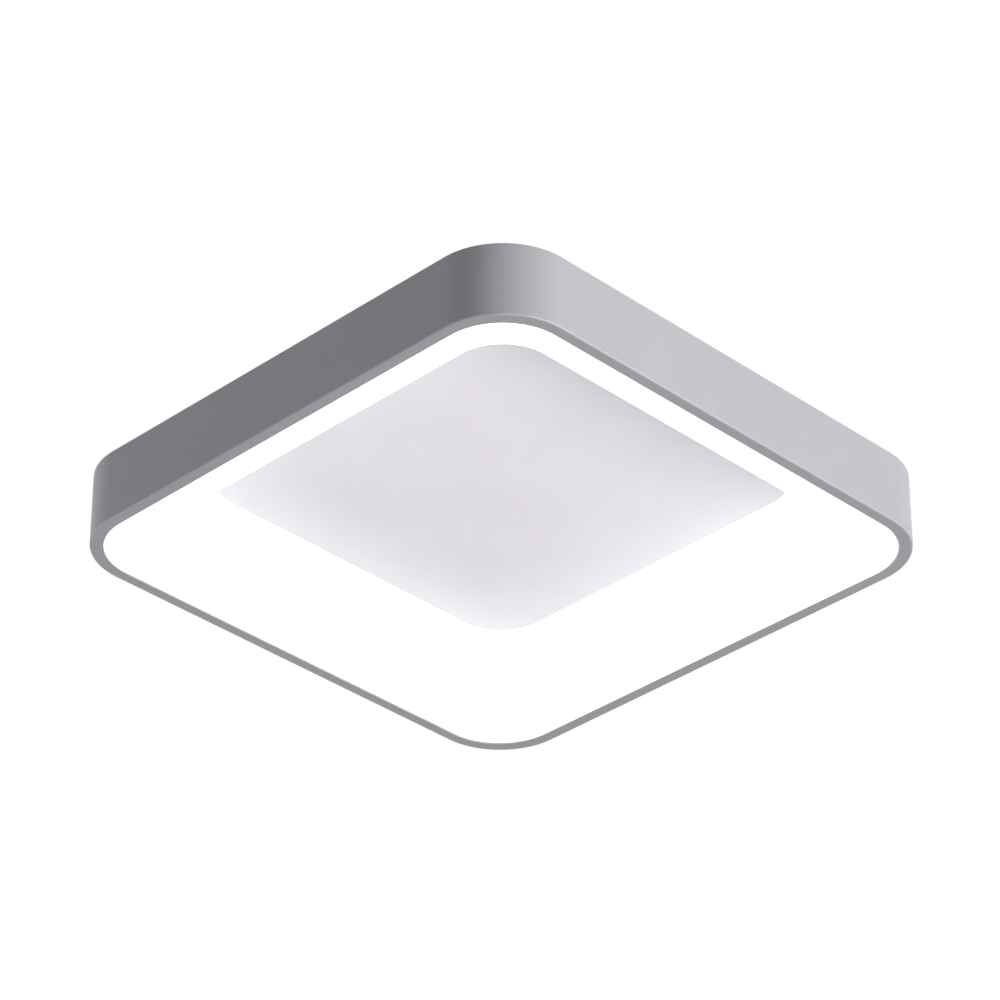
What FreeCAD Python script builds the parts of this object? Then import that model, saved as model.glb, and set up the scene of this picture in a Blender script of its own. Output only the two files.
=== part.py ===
import FreeCAD, Part
import math
import os
import Sketcher

# A square flush mount ceiling light, in millimetres. The ceiling is the plane z = 0 and the lamp hangs
# below it. The root carries everything that stays on the ceiling; the shade comes down off its magnets.

os.makedirs("parts", exist_ok=True)
document = FreeCAD.newDocument("ceiling_light")
sheet = document.addObject("Spreadsheet::Sheet", "Size")

# Driving sizes, each a cell of the sheet. A name starting with a piece's name belongs to that piece.
SIZES = {
    "overall_width": 500,
    "overall_height": 65,
    "corner_radius": 62,
    "frame_sheet": 1.2,
    "frame_bend": 1.5,
    "frame_bend_inside": 0.3,
    "ceiling_gap": 0.5,
    "lip_width": 10,
    "lip_radius": 54.5,
    "chassis_width": 494,
    "chassis_radius": 59,
    "chassis_sheet": 1,
    "strip_length": 280,
    "strip_drop": 11,
    "strip_corner": 4,
    "mount_across": 200,
    "mount_apart": 440,
    "mount_hole": 2.75,
    "entry_place": -167,
    "entry_dish": 12,
    "entry_dish_depth": 2.5,
    "entry_hole": 8,
    "grommet_bore": 4.5,
    "grommet_flange": 11,
    "grommet_tail": 7,
    "grommet_collar": 10.4,
    "grommet_length": 5.6,
    "play": 0.1,
    "shank_gap": 0.1,
    "small_corner": 0.5,
    "diffuser_sheet": 2.5,
    "diffuser_width": 495,
    "diffuser_radius": 59.5,
    "recess_width": 432,
    "recess_radius": 43.5,
    "recess_top_width": 351,
    "recess_top_radius": 42,
    "recess_gap": 0.3,
    "plate_width": 359,
    "plate_radius": 46,
    "plate_sheet": 1,
    "tape_margin": 6,
    "tape_width": 12,
    "tape_sheet": 0.2,
    "board_place": 192,
    "board_length": 340,
    "board_width": 22,
    "board_sheet": 1.6,
    "chip_pitch": 27,
    "chip_count": 12,
    "chip_width": 2.8,
    "chip_length": 3.5,
    "chip_height": 0.8,
    "lens_radius": 7.5,
    "lens_height": 5,
    "lens_rim": 1.1,
    "lens_curve": 6,
    "lens_cavity": 3.4,
    "lens_cavity_depth": 1.8,
    "lens_cavity_curve": 4.5,
    "lens_dimple": 2,
    "lens_dimple_depth": 0.8,
    "board_screw_pitch": 135,
    "plug_place": 166,
    "plug_length": 8,
    "plug_width": 7,
    "plug_height": 4.4,
    "feed_plug_place": 108,
    "feed_plug_offset": 6.5,
    "screw_shank": 1.4,
    "screw_hole": 1.55,
    "screw_head": 3,
    "screw_head_rim": 0.7,
    "screw_head_height": 2,
    "screw_head_curve": 4.2,
    "screw_slot_length": 3.4,
    "screw_slot_width": 0.8,
    "screw_slot_depth": 1.1,
    "driver_place": 226,
    "driver_low": -60,
    "driver_high": 80,
    "driver_width": 34,
    "driver_height": 23,
    "driver_corner": 2,
    "driver_wall": 1.6,
    "driver_soft_edge": 1.2,
    "driver_base_height": 7,
    "driver_ear": 10,
    "driver_ear_width": 10,
    "driver_port_width": 19,
    "driver_port_height": 6.5,
    "driver_vent_count": 9,
    "driver_vent_pitch": 9,
    "driver_vent_width": 2,
    "driver_vent_length": 20,
    "circuit_drop": 5.5,
    "circuit_sheet": 1.6,
    "circuit_play": 1.2,
    "post_radius": 2,
    "post_inset": 6,
    "core_width": 24,
    "core_length": 22,
    "core_height": 13,
    "core_limb": 5,
    "winding_radius": 6,
    "winding_bore": 3.6,
    "winding_cheek": 1,
    "can_radius": 5,
    "can_height": 13,
    "can_pitch": 12,
    "film_width": 16,
    "film_thickness": 7,
    "film_height": 10.4,
    "film_place": 37.4,
    "choke_radius": 8,
    "choke_wire": 2.6,
    "port_block_length": 9,
    "port_block_width": 18,
    "port_block_height": 9,
    "pole_drop": 4.2,
    "pole_entry": 3.2,
    "pole_entry_depth": 6,
    "terminal_place": 226,
    "terminal_front": -132,
    "terminal_back": -102,
    "terminal_width": 25,
    "terminal_height": 12,
    "terminal_corner": 0.8,
    "terminal_pitch": 8,
    "terminal_ear": 7,
    "terminal_ear_length": 8,
    "terminal_ear_sheet": 2,
    "terminal_screw_reach": 16,
    "lever_width": 5.4,
    "lever_gap": 0.35,
    "lever_length": 15,
    "lever_sheet": 2,
    "lever_hub": 2,
    "lever_pin": 0.9,
    "lever_pin_hole": 1,
    "lever_pin_reach": 0.7,
    "lever_pivot": 3.6,
    "clamp_strip_sheet": 0.7,
    "clamp_strip_length": 17,
    "earth_place_x": 238,
    "earth_place_y": -70,
    "earth_ring": 4,
    "earth_sheet": 0.8,
    "earth_neck": 1.5,
    "earth_barrel": 1.9,
    "earth_barrel_length": 7,
    "washer_radius": 3.2,
    "washer_root": 2.4,
    "washer_gap": 0.4,
    "washer_sheet": 0.6,
    "wire_radius": 1.1,
    "thin_wire_radius": 0.8,
    "thin_wire_gap": 2.6,
    "wire_lead": 12,
    "earth_lead": 8,
    "wire_entry": 5,
    "bracket_reach": 98.8,
    "bracket_drop": 7,
    "bracket_sheet": 1.5,
    "bracket_tab_width": 22,
    "bracket_tab_height": 14,
    "magnet_far": 226,
    "magnet_near": 190,
    "magnet_cup": 8,
    "magnet_floor": 1.5,
    "magnet_ring": 6.6,
    "magnet_ring_bore": 3.4,
    "magnet_ring_sink": 0.3,
    "clip_place": 120,
    "clip_pivot": 244.2,
    "clip_arm": 13,
    "clip_width": 5.4,
    "clip_sheet": 1.2,
    "clip_lift": 0.15,
    "clip_bracket_width": 20,
    "clip_bracket_sheet": 1,
    "clip_bracket_height": 9,
    "clip_bracket_reach": 7.8,
    "rivet_shank": 1.3,
    "rivet_hole": 1.45,
    "rivet_head": 2.4,
    "rivet_head_flat": 1.8,
    "rivet_head_height": 0.9,
    "notch_reach": 7.8,
    "notch_back": 17.5,
    "notch_front": 3.6,
    "joint_plate_width": 36,
    "joint_plate_height": 40,
    "joint_plate_sheet": 1,
}


class Length:
    """A number that remembers the sheet formula it came from, so that a feature can be bound to it."""

    def __init__(self, value, formula):
        self.value = value
        self.formula = formula

    def joined(self, other, sign, value):
        return Length(value, f"({self.formula} {sign} {length(other).formula})")

    def __add__(self, other):
        return self.joined(other, "+", self.value + length(other).value)

    def __radd__(self, other):
        return length(other) + self

    def __sub__(self, other):
        return self.joined(other, "-", self.value - length(other).value)

    def __rsub__(self, other):
        return length(other) - self

    def __mul__(self, other):
        return self.joined(other, "*", self.value * length(other).value)

    def __rmul__(self, other):
        return length(other) * self

    def __truediv__(self, other):
        return self.joined(other, "/", self.value / length(other).value)

    def __neg__(self):
        return Length(-self.value, f"(-1 * {self.formula})")


def length(number):
    """The number as a Length, whether it is one already or a plain count or fraction."""
    if isinstance(number, Length):
        return number
    return Length(float(number), str(number))


class Sizes:
    """The cells of the sheet, read by name."""


size = Sizes()
for row_number, (alias, millimetres) in enumerate(SIZES.items(), start=1):
    sheet.set(f"A{row_number}", alias)
    sheet.set(f"B{row_number}", str(millimetres))
    sheet.setAlias(f"B{row_number}", alias)
    setattr(size, alias, Length(float(millimetres), f"Size.{alias}"))
document.recompute()

ZERO = length(0)
SIDES = 4
WASHER_TEETH = 10
# The share of the shorter run beside a corner that a wire's bend takes up.
BEND_SHARE = 0.45
pieces = []


# Helpers: bodies, planes and outlines

def piece(name, turn=0, move=(0, 0, 0)):
    """A new body for one sub-part, turned about the vertical axis and then left where it is needed."""
    body = document.addObject("PartDesign::Body", name)
    body.Label = name
    body.AllowCompound = True
    spin = FreeCAD.Rotation(FreeCAD.Vector(0, 0, 1), turn)
    across = FreeCAD.Vector(*[length(part).value for part in move])
    body.Placement = FreeCAD.Placement(spin.multVec(across), spin)
    pieces.append(body)
    return body


def origin(body, role):
    """The body's own origin plane or axis with this role."""
    return [part for part in body.Origin.OriginFeatures if part.Role == role][0]


def sketch_on(body, name, role, x=ZERO, y=ZERO, z=ZERO):
    """A sketch on an origin plane, its centre moved to x, y along the plane and z along its normal."""
    sketch = body.newObject("Sketcher::SketchObject", name)
    sketch.AttachmentSupport = [(origin(body, role), "")]
    sketch.MapMode = "FlatFace"
    for axis, offset in (("x", x), ("y", y), ("z", z)):
        sketch.setExpression(f"AttachmentOffset.Base.{axis}", length(offset).formula)
    return sketch


def dimension(sketch, kind, where, target):
    """A driving constraint of the sketch, bound to the target's formula."""
    number = sketch.addConstraint(Sketcher.Constraint(kind, *where, target.value))
    label = f"{kind}_{number}"
    sketch.renameConstraint(number, label)
    sketch.setExpression(f"Constraints.{label}", target.formula)


def arc_between(start, end, radius):
    """The short arc from start to end: it bulges to the right of the way there, or left if radius < 0."""
    chord = end - start
    rise = math.sqrt(radius**2 - (chord.Length / 2) ** 2) * math.copysign(1, radius)
    left = FreeCAD.Vector(-chord.y, chord.x, 0) / chord.Length
    centre = start + chord / 2 + left * rise
    first, last = (start, end) if radius > 0 else (end, start)
    angles = [math.atan2(spot.y - centre.y, spot.x - centre.x) for spot in (first, last)]
    if angles[1] < angles[0]:
        angles[1] += 2 * math.pi
    circle = Part.Circle(centre, FreeCAD.Vector(0, 0, 1), abs(radius))
    return Part.ArcOfCircle(circle, angles[0], angles[1])


def outline(*points):
    """A closed outline, anticlockwise. A point with a third number starts an arc of that radius."""
    def draw(sketch):
        rows = [tuple(length(part) for part in point) for point in points]
        spots = [FreeCAD.Vector(row[0].value, row[1].value, 0) for row in rows]
        ends = []
        for index, row in enumerate(rows):
            start, end = spots[index], spots[(index + 1) % len(spots)]
            if len(row) == 2:
                edge = sketch.addGeometry(Part.LineSegment(start, end), False)
                ends.append((edge, 1, 2))
                continue
            edge = sketch.addGeometry(arc_between(start, end, row[2].value), False)
            ends.append((edge, 1, 2) if row[2].value > 0 else (edge, 2, 1))
        for index, (edge, first, last) in enumerate(ends):
            following = ends[(index + 1) % len(ends)]
            sketch.addConstraint(Sketcher.Constraint("Coincident", edge, last, following[0], following[1]))
        for row, (edge, first, last) in zip(rows, ends):
            dimension(sketch, "DistanceX", (-1, 1, edge, first), row[0])
            dimension(sketch, "DistanceY", (-1, 1, edge, first), row[1])
            if len(row) == 3:
                radius = row[2] if row[2].value > 0 else -row[2]
                dimension(sketch, "Radius", (edge,), radius)
    return draw


def box(x_low, x_high, y_low, y_high):
    """A rectangle between four sides."""
    return outline((x_low, y_low), (x_high, y_low), (x_high, y_high), (x_low, y_high))


def rounded(width, depth, radius, x=ZERO, y=ZERO):
    """A rectangle about x, y with rounded corners."""
    right, top = length(width) / 2, length(depth) / 2
    return outline(
        (x - right + radius, y - top), (x + right - radius, y - top, radius),
        (x + right, y - top + radius), (x + right, y + top - radius, radius),
        (x + right - radius, y + top), (x - right + radius, y + top, radius),
        (x - right, y + top - radius), (x - right, y - top + radius, radius),
    )


def disc(x, y, radius):
    """A circle about x, y."""
    def draw(sketch):
        middle = FreeCAD.Vector(length(x).value, length(y).value, 0)
        edge = sketch.addGeometry(Part.Circle(middle, FreeCAD.Vector(0, 0, 1), length(radius).value), False)
        dimension(sketch, "DistanceX", (-1, 1, edge, 3), length(x))
        dimension(sketch, "DistanceY", (-1, 1, edge, 3), length(y))
        dimension(sketch, "Radius", (edge,), length(radius))
    return draw


# Helpers: features that grow down from a level, as everything here hangs

def grow(body, name, shapes, level, depth, role="XY_Plane"):
    """A pad of the shapes. On the level plane it hangs from level, elsewhere it follows the normal."""
    sketch = sketch_on(body, f"{name}_sketch", role, z=level)
    for shape in shapes:
        shape(sketch)
    pad = body.newObject("PartDesign::Pad", name)
    pad.Profile = sketch
    pad.Reversed = role == "XY_Plane"
    pad.setExpression("Length", length(depth).formula)
    return pad


def cut(body, name, shapes, level, depth, role="XY_Plane"):
    """A pocket of the shapes, with the same direction as grow."""
    sketch = sketch_on(body, f"{name}_sketch", role, z=level)
    for shape in shapes:
        shape(sketch)
    pocket = body.newObject("PartDesign::Pocket", name)
    pocket.Profile = sketch
    pocket.Reversed = role != "XY_Plane"
    pocket.setExpression("Length", length(depth).formula)
    return pocket


def turned(body, name, shape, x=ZERO, y=ZERO):
    """A profile turned about the vertical line through x, y: the profile's x is radius and its y is z."""
    sketch = sketch_on(body, f"{name}_sketch", "XZ_Plane", x=x, z=-length(y))
    shape(sketch)
    turn = body.newObject("PartDesign::Revolution", name)
    turn.Profile = sketch
    turn.ReferenceAxis = (sketch, ["V_Axis"])
    turn.Angle = 360
    return turn


def pattern_of(body, kind, name, originals):
    """A pattern feature of the body's own features."""
    pattern = body.newObject(f"PartDesign::{kind}", name)
    pattern.Originals = originals
    body.Tip = pattern
    return pattern


def around(body, name, originals):
    """The features repeated on all four sides of the lamp."""
    pattern = pattern_of(body, "PolarPattern", name, originals)
    pattern.Axis = (origin(body, "Z_Axis"), [""])
    pattern.Angle = 360
    pattern.Occurrences = SIDES
    return pattern


def in_row(body, name, originals, axis, reach, count):
    """The features repeated along an axis, the last one at reach."""
    pattern = pattern_of(body, "LinearPattern", name, originals)
    pattern.Direction = (origin(body, axis), [""])
    pattern.setExpression("Length", length(reach).formula)
    pattern.setExpression("Occurrences", length(count).formula)
    return pattern


def row_around(body, name, originals, axis, reach, count):
    """The features repeated along an axis, and that row on all four sides."""
    both = body.newObject("PartDesign::MultiTransform", name)
    row = body.newObject("PartDesign::LinearPattern", f"{name}_row")
    row.Direction = (origin(body, axis), [""])
    row.setExpression("Length", length(reach).formula)
    row.setExpression("Occurrences", length(count).formula)
    sides = body.newObject("PartDesign::PolarPattern", f"{name}_sides")
    sides.Axis = (origin(body, "Z_Axis"), [""])
    sides.Angle = 360
    sides.Occurrences = SIDES
    both.Originals = originals
    both.Transformations = [row, sides]
    body.Tip = both
    return both


def rim_edges(feature, level, longest=None):
    """Names of the feature's edges that lie in the plane at this level."""
    names = []
    for number, edge in enumerate(feature.Shape.Edges, start=1):
        bounds = edge.BoundBox
        if abs(bounds.ZMin - level) < 1e-4 and abs(bounds.ZMax - level) < 1e-4:
            if longest is None or edge.Length < longest:
                names.append(f"Edge{number}")
    return names


def soften(body, name, feature, names, radius):
    """A fillet along the named edges of a feature that has been computed."""
    fillet = body.newObject("PartDesign::Fillet", name)
    fillet.Base = (feature, names)
    fillet.setExpression("Radius", length(radius).formula)
    body.Tip = fillet
    return fillet


def screw(body, name, x, y, seat, reach):
    """A pan head screw that points up: its head sits under seat and its shank reaches up to reach."""
    head_end = seat - size.screw_head_height
    form = turned(body, name, outline(
        (0, head_end, size.screw_head_curve),
        (size.screw_head, seat - size.screw_head_rim),
        (size.screw_head, seat),
        (size.screw_shank, seat),
        (size.screw_shank, reach),
        (0, reach),
    ), x, y)
    features = [form]
    for label, wide, deep in (("along", "length", "width"), ("across", "width", "length")):
        half_x = getattr(size, f"screw_slot_{wide}") / 2
        half_y = getattr(size, f"screw_slot_{deep}") / 2
        slot = box(x - half_x, x + half_x, y - half_y, y + half_y)
        features.append(cut(body, f"{name}_{label}", [slot], head_end + size.screw_slot_depth,
                            size.screw_slot_depth * 2))
    return features


# Levels and places that several pieces share

sheet_under = -size.chassis_sheet
frame_top = -size.ceiling_gap
lamp_bottom = -size.overall_height
lip_top = lamp_bottom + size.frame_sheet
wall_inside = size.overall_width / 2 - size.frame_sheet
flange_top = lip_top + size.diffuser_sheet
plate_top = sheet_under - size.tape_sheet
plate_under = plate_top - size.plate_sheet
recess_top = plate_under - size.recess_gap
board_under = sheet_under - size.board_sheet
plug_level = board_under - size.plug_height / 2
shank_top = -size.shank_gap
driver_middle = (size.driver_low + size.driver_high) / 2
driver_length = size.driver_high - size.driver_low
driver_inner_width = size.driver_width - 2 * size.driver_wall
driver_inner_length = driver_length - 2 * size.driver_wall
circuit_top = sheet_under - size.circuit_drop
circuit_under = circuit_top - size.circuit_sheet
circuit_length = driver_length - 2 * size.driver_wall - 2 * size.circuit_play
port_face = circuit_length / 2 - size.play
port_level = circuit_under - size.port_block_height / 2
terminal_under = sheet_under - size.terminal_height
terminal_middle = (size.terminal_front + size.terminal_back) / 2
pole_level = sheet_under - size.pole_drop
lever_axis_y = size.terminal_front + size.lever_pivot
lever_axis_z = terminal_under + size.lever_hub
earth_barrel_start = size.earth_place_y - size.earth_ring - size.play
clip_top = flange_top + size.clip_lift + size.clip_sheet


# Root: chassis

def chassis_plate():
    """The steel plate on the ceiling, with a dished cable entry and holes."""
    body = piece("chassis_plate")
    grow(body, "sheet", [rounded(size.chassis_width, size.chassis_width, size.chassis_radius)],
         ZERO, size.chassis_sheet)
    x, y = size.terminal_place, size.entry_place
    grow(body, "dish", [disc(x, y, size.entry_dish + size.chassis_sheet)], sheet_under, size.entry_dish_depth)
    cut(body, "dish_hollow", [disc(x, y, size.entry_dish)], ZERO, size.entry_dish_depth)
    through = size.chassis_sheet + size.entry_dish_depth
    cut(body, "entry", [disc(x, y, size.entry_hole)], ZERO, through)
    mounts = [disc(across * size.mount_across / 2, apart * size.mount_apart / 2, size.mount_hole)
              for across in (-1, 1) for apart in (-1, 1)]
    cut(body, "mounts", mounts, ZERO, size.chassis_sheet)
    board_holes = [disc(size.board_place, place * size.board_screw_pitch, size.screw_hole)
                   for place in (-1, 0, 1)]
    board_hole = cut(body, "board_hole", board_holes, ZERO, size.chassis_sheet)
    around(body, "board_holes", [board_hole])
    ear = size.driver_ear / 2
    places = [
        (size.driver_place, size.driver_low - ear), (size.driver_place, size.driver_high + ear),
        (size.terminal_place - size.terminal_screw_reach, terminal_middle),
        (size.terminal_place + size.terminal_screw_reach, terminal_middle),
        (size.earth_place_x, size.earth_place_y),
    ]
    cut(body, "fixings", [disc(x, y, size.screw_hole) for x, y in places], ZERO, size.chassis_sheet)


def edge_strips():
    """Four upright strips that stiffen the chassis plate, welded under the middle of its edges."""
    body = piece("edge_strips")
    half, corner = size.strip_length / 2, size.strip_corner
    low = sheet_under - size.strip_drop
    strip = grow(body, "strip", [outline(
        (-half, low + corner, corner), (-half + corner, low), (half - corner, low, corner),
        (half, low + corner), (half, sheet_under), (-half, sheet_under),
    )], size.chassis_width / 2 - size.chassis_sheet, size.chassis_sheet, "YZ_Plane")
    around(body, "strips", [strip])


def bonding_tape():
    """The square ring of tape between the chassis and the centre plate."""
    body = piece("bonding_tape")
    outer = size.plate_width - 2 * size.tape_margin
    inner = outer - 2 * size.tape_width
    radius = size.plate_radius - size.tape_margin
    grow(body, "ring", [rounded(outer, outer, radius), rounded(inner, inner, radius - size.tape_width)],
         sheet_under, size.tape_sheet)


def centre_plate():
    """The white sheet metal plate that closes the recess, flat under the chassis."""
    body = piece("centre_plate")
    grow(body, "plate", [rounded(size.plate_width, size.plate_width, size.plate_radius)], plate_top,
         size.plate_sheet)


def cable_grommet():
    """The rubber bush in the cable entry: a flange in the dish, a neck in the hole, a collar below."""
    body = piece("cable_grommet")
    bore, tail = size.grommet_bore, size.grommet_tail
    neck = size.entry_hole - size.play
    floor = -size.entry_dish_depth + size.play
    collar = -size.entry_dish_depth - size.chassis_sheet - size.play
    end = -size.ceiling_gap - size.grommet_length
    turned(body, "bush", outline(
        (bore, end), (tail, end), (size.grommet_collar, collar - size.chassis_sheet),
        (size.grommet_collar, collar), (neck, collar), (neck, floor), (size.grommet_flange, floor),
        (size.grommet_flange, -size.ceiling_gap), (bore, -size.ceiling_gap),
    ), size.terminal_place, size.entry_place)


def earth_terminal():
    """The ring tongue of the earth wire: a flat ring, a neck and the barrel that grips the wire."""
    body = piece("earth_terminal")
    x, y = size.earth_place_x, size.earth_place_y
    grow(body, "ring", [disc(x, y, size.earth_ring)], sheet_under, size.earth_sheet)
    neck = box(x - size.earth_neck, x + size.earth_neck, earth_barrel_start, y - size.earth_ring / 2)
    grow(body, "neck", [neck], sheet_under, size.earth_sheet)
    grow(body, "barrel", [disc(x, sheet_under - size.earth_barrel, size.earth_barrel)],
         -earth_barrel_start, size.earth_barrel_length, "XZ_Plane")
    cut(body, "hole", [disc(x, y, size.screw_hole)], sheet_under, size.earth_sheet)


def earth_washer():
    """The toothed lock washer between the ring tongue and the screw head."""
    body = piece("earth_washer")
    x, y = size.earth_place_x, size.earth_place_y
    level = sheet_under - size.earth_sheet
    ring = [disc(x, y, size.washer_radius), disc(x, y, size.screw_hole)]
    grow(body, "ring", ring, level, size.washer_sheet)
    notch = box(x + size.washer_root, x + size.washer_radius + size.play,
                y - size.washer_gap / 2, y + size.washer_gap / 2)
    gap = cut(body, "tooth_gap", [notch], level, size.washer_sheet)
    teeth = pattern_of(body, "PolarPattern", "teeth", [gap])
    spindle = sketch_on(body, "spindle", "XZ_Plane", x=x, z=-y)
    teeth.Axis = (spindle, ["V_Axis"])
    teeth.Angle = 360
    teeth.Occurrences = WASHER_TEETH


def earth_screw():
    """The screw of the earth connection."""
    body = piece("earth_screw")
    seat = sheet_under - size.earth_sheet - size.washer_sheet
    screw(body, "screw", size.earth_place_x, size.earth_place_y, seat, shank_top)


# Root: light source

def led_boards():
    """Four aluminium boards, one along each side, with clearance holes for their three screws."""
    for number in range(SIDES):
        body = piece(f"led_board_{number + 1}", turn=90 * number)
        x = size.board_place
        grow(body, "strip", [rounded(size.board_width, size.board_length, size.screw_shank, x=x)],
             sheet_under, size.board_sheet)
        holes = [disc(x, place * size.board_screw_pitch, size.screw_hole) for place in (-1, 0, 1)]
        cut(body, "holes", holes, sheet_under, size.board_sheet)


def led_chips():
    """The light emitting chips: a row of packages on each board."""
    body = piece("led_chips")
    half_row = size.chip_pitch * (size.chip_count - 1) / 2
    half_width, half_length = size.chip_width / 2, size.chip_length / 2
    first = box(size.board_place - half_width, size.board_place + half_width,
                -half_row - half_length, -half_row + half_length)
    chip = grow(body, "chip", [first], board_under, size.chip_height)
    row_around(body, "rows", [chip], "Y_Axis", 2 * half_row, size.chip_count)


def led_lenses():
    """Four rows of clear domes over the chips, hollow beneath and dimpled at the crown."""
    half_row = size.chip_pitch * (size.chip_count - 1) / 2
    for number in range(SIDES):
        body = piece(f"led_lenses_{number + 1}", turn=90 * number)
        dome = turned(body, "dome", outline(
            (0, board_under - size.lens_height + size.lens_dimple_depth),
            (size.lens_dimple, board_under - size.lens_height, size.lens_curve),
            (size.lens_radius, board_under - size.lens_rim),
            (size.lens_radius, board_under),
            (size.lens_cavity, board_under, -size.lens_cavity_curve),
            (0, board_under - size.lens_cavity_depth),
        ), x=size.board_place, y=-half_row)
        in_row(body, "row", [dome], "Y_Axis", 2 * half_row, size.chip_count)


def board_screws():
    """Three screws in each board."""
    body = piece("board_screws")
    first = screw(body, "screw", size.board_place, -size.board_screw_pitch, board_under, shank_top)
    row_around(body, "rows", first, "Y_Axis", 2 * size.board_screw_pitch, 3)


def board_connectors():
    """Plug housings at both ends of each board, and the one that takes the feed from the driver."""
    body = piece("board_connectors")
    corner = size.small_corner
    plugs = []
    for label, side in (("first", 1), ("last", -1)):
        middle = side * (size.plug_place - size.plug_length / 2)
        plug = rounded(size.plug_width, size.plug_length, corner, size.board_place, middle)
        plugs.append(grow(body, f"{label}_plug", [plug], board_under, size.plug_height))
    around(body, "end_plugs", plugs)
    feed = rounded(size.plug_width, size.plug_length, corner, size.board_place + size.feed_plug_offset,
                   size.feed_plug_place)
    grow(body, "feed_plug", [feed], board_under, size.plug_height)


# Root: driver

def driver_base():
    """The tray under the chassis plate: two screwed ears, a low wall and four posts for the circuit."""
    body = piece("driver_base")
    x, y = size.driver_place, driver_middle
    ear_span = driver_length + 2 * size.driver_ear
    grow(body, "ears", [rounded(size.driver_ear_width, ear_span, size.driver_corner, x, y)],
         sheet_under, size.driver_wall)
    grow(body, "tray", [rounded(size.driver_width, driver_length, size.driver_corner, x, y)],
         sheet_under, size.driver_base_height)
    floor = sheet_under - size.driver_wall
    cut(body, "inside", [rounded(driver_inner_width, driver_inner_length, size.driver_corner / 2, x, y)],
        floor, size.driver_base_height)
    across = driver_inner_width / 2 - size.post_inset
    along = driver_inner_length / 2 - size.post_inset
    posts = [disc(x + a * across, y + b * along, size.post_radius) for a in (-1, 1) for b in (-1, 1)]
    grow(body, "posts", posts, floor, floor - circuit_top)
    ear = driver_length / 2 + size.driver_ear / 2
    cut(body, "ear_holes", [disc(x, y - ear, size.screw_hole), disc(x, y + ear, size.screw_hole)],
        sheet_under, size.driver_wall)


def driver_cover():
    """The shell that closes the driver from below, with soft edges, wire ports and a row of vents."""
    body = piece("driver_cover")
    x, y = size.driver_place, driver_middle
    top = sheet_under - size.driver_base_height
    depth = size.driver_height - size.driver_base_height
    block = rounded(size.driver_width, driver_length, size.driver_corner, x, y)
    shell = grow(body, "shell", [block], top, depth)
    document.recompute()
    soften(body, "soft_edge", shell, rim_edges(shell, (top - depth).value), size.driver_soft_edge)
    cut(body, "inside", [rounded(driver_inner_width, driver_inner_length, size.driver_corner / 2, x, y)],
        top, depth - size.driver_wall)
    port = size.driver_port_width / 2
    reach = driver_length / 2 + size.driver_wall
    cut(body, "ports", [box(x - port, x + port, y - reach, y + reach)],
        circuit_under - size.driver_wall, size.driver_port_height)
    span = size.driver_vent_pitch * (size.driver_vent_count - 1)
    vent = cut(body, "vent", [rounded(size.driver_vent_length, size.driver_vent_width,
                                      size.driver_vent_width / 2 - size.play, x, y - span / 2)],
               top - depth + size.driver_wall, size.driver_wall)
    in_row(body, "vents", [vent], "Y_Axis", span, size.driver_vent_count)


def driver_screws():
    """The two screws through the driver's ears."""
    body = piece("driver_screws")
    first = screw(body, "screw", size.driver_place, size.driver_low - size.driver_ear / 2,
                  sheet_under - size.driver_wall, shank_top)
    in_row(body, "pair", first, "Y_Axis", driver_length + size.driver_ear, 2)


def driver_circuit_board():
    """The laminate board on the posts of the tray."""
    body = piece("driver_circuit_board")
    width = driver_inner_width - 2 * size.circuit_play
    board = rounded(width, circuit_length, size.small_corner, size.driver_place, driver_middle)
    grow(body, "board", [board], circuit_top, size.circuit_sheet)


def driver_terminals():
    """The two pole terminal blocks at the driver's ends, with square wire entries."""
    body = piece("driver_terminals")
    x, y = size.driver_place, driver_middle
    half = size.port_block_width / 2
    inner = port_face - size.port_block_length
    grow(body, "input_block", [box(x - half, x + half, y - port_face, y - inner)],
         circuit_under, size.port_block_height)
    grow(body, "output_block", [box(x - half, x + half, y + inner, y + port_face)],
         circuit_under, size.port_block_height)
    entry, pole = size.pole_entry / 2, size.terminal_pitch / 2
    poles = [box(x + side * pole - entry, x + side * pole + entry, port_level - entry, port_level + entry)
             for side in (-1, 1)]
    depth = size.pole_entry_depth
    cut(body, "input_poles", poles, -(y - port_face + depth), depth, "XZ_Plane")
    cut(body, "output_poles", poles, -(y + port_face), depth, "XZ_Plane")


def driver_transformer():
    """The ferrite core: two side limbs, two yokes and a round centre limb."""
    body = piece("driver_transformer")
    x, y = size.driver_place, driver_middle
    half_x, half_y, limb = size.core_width / 2, size.core_length / 2, size.core_limb
    window = size.core_height - limb
    grow(body, "core", [box(x - half_x, x + half_x, y - half_y, y + half_y)], circuit_under, size.core_height)
    cut(body, "window", [box(x - half_x + limb, x + half_x - limb, y - 2 * half_y, y + 2 * half_y)],
        circuit_under - limb / 2, window)
    grow(body, "centre_limb", [disc(x, y, size.winding_bore - size.play)], circuit_under - limb / 2, window)


def driver_winding():
    """The wound bobbin on the centre limb, with a cheek at each end."""
    body = piece("driver_winding")
    top = circuit_under - size.core_limb / 2 - size.play
    bottom = circuit_under - size.core_height + size.core_limb / 2 + size.play
    cheek, wound, bore = size.winding_cheek, size.winding_radius, size.winding_bore
    reach = size.core_width / 2 - size.core_limb - size.play * 2
    turned(body, "bobbin", outline(
        (bore, bottom), (reach, bottom), (reach, bottom + cheek), (wound, bottom + cheek),
        (wound, top - cheek), (reach, top - cheek), (reach, top), (bore, top),
    ), size.driver_place, driver_middle)


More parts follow.
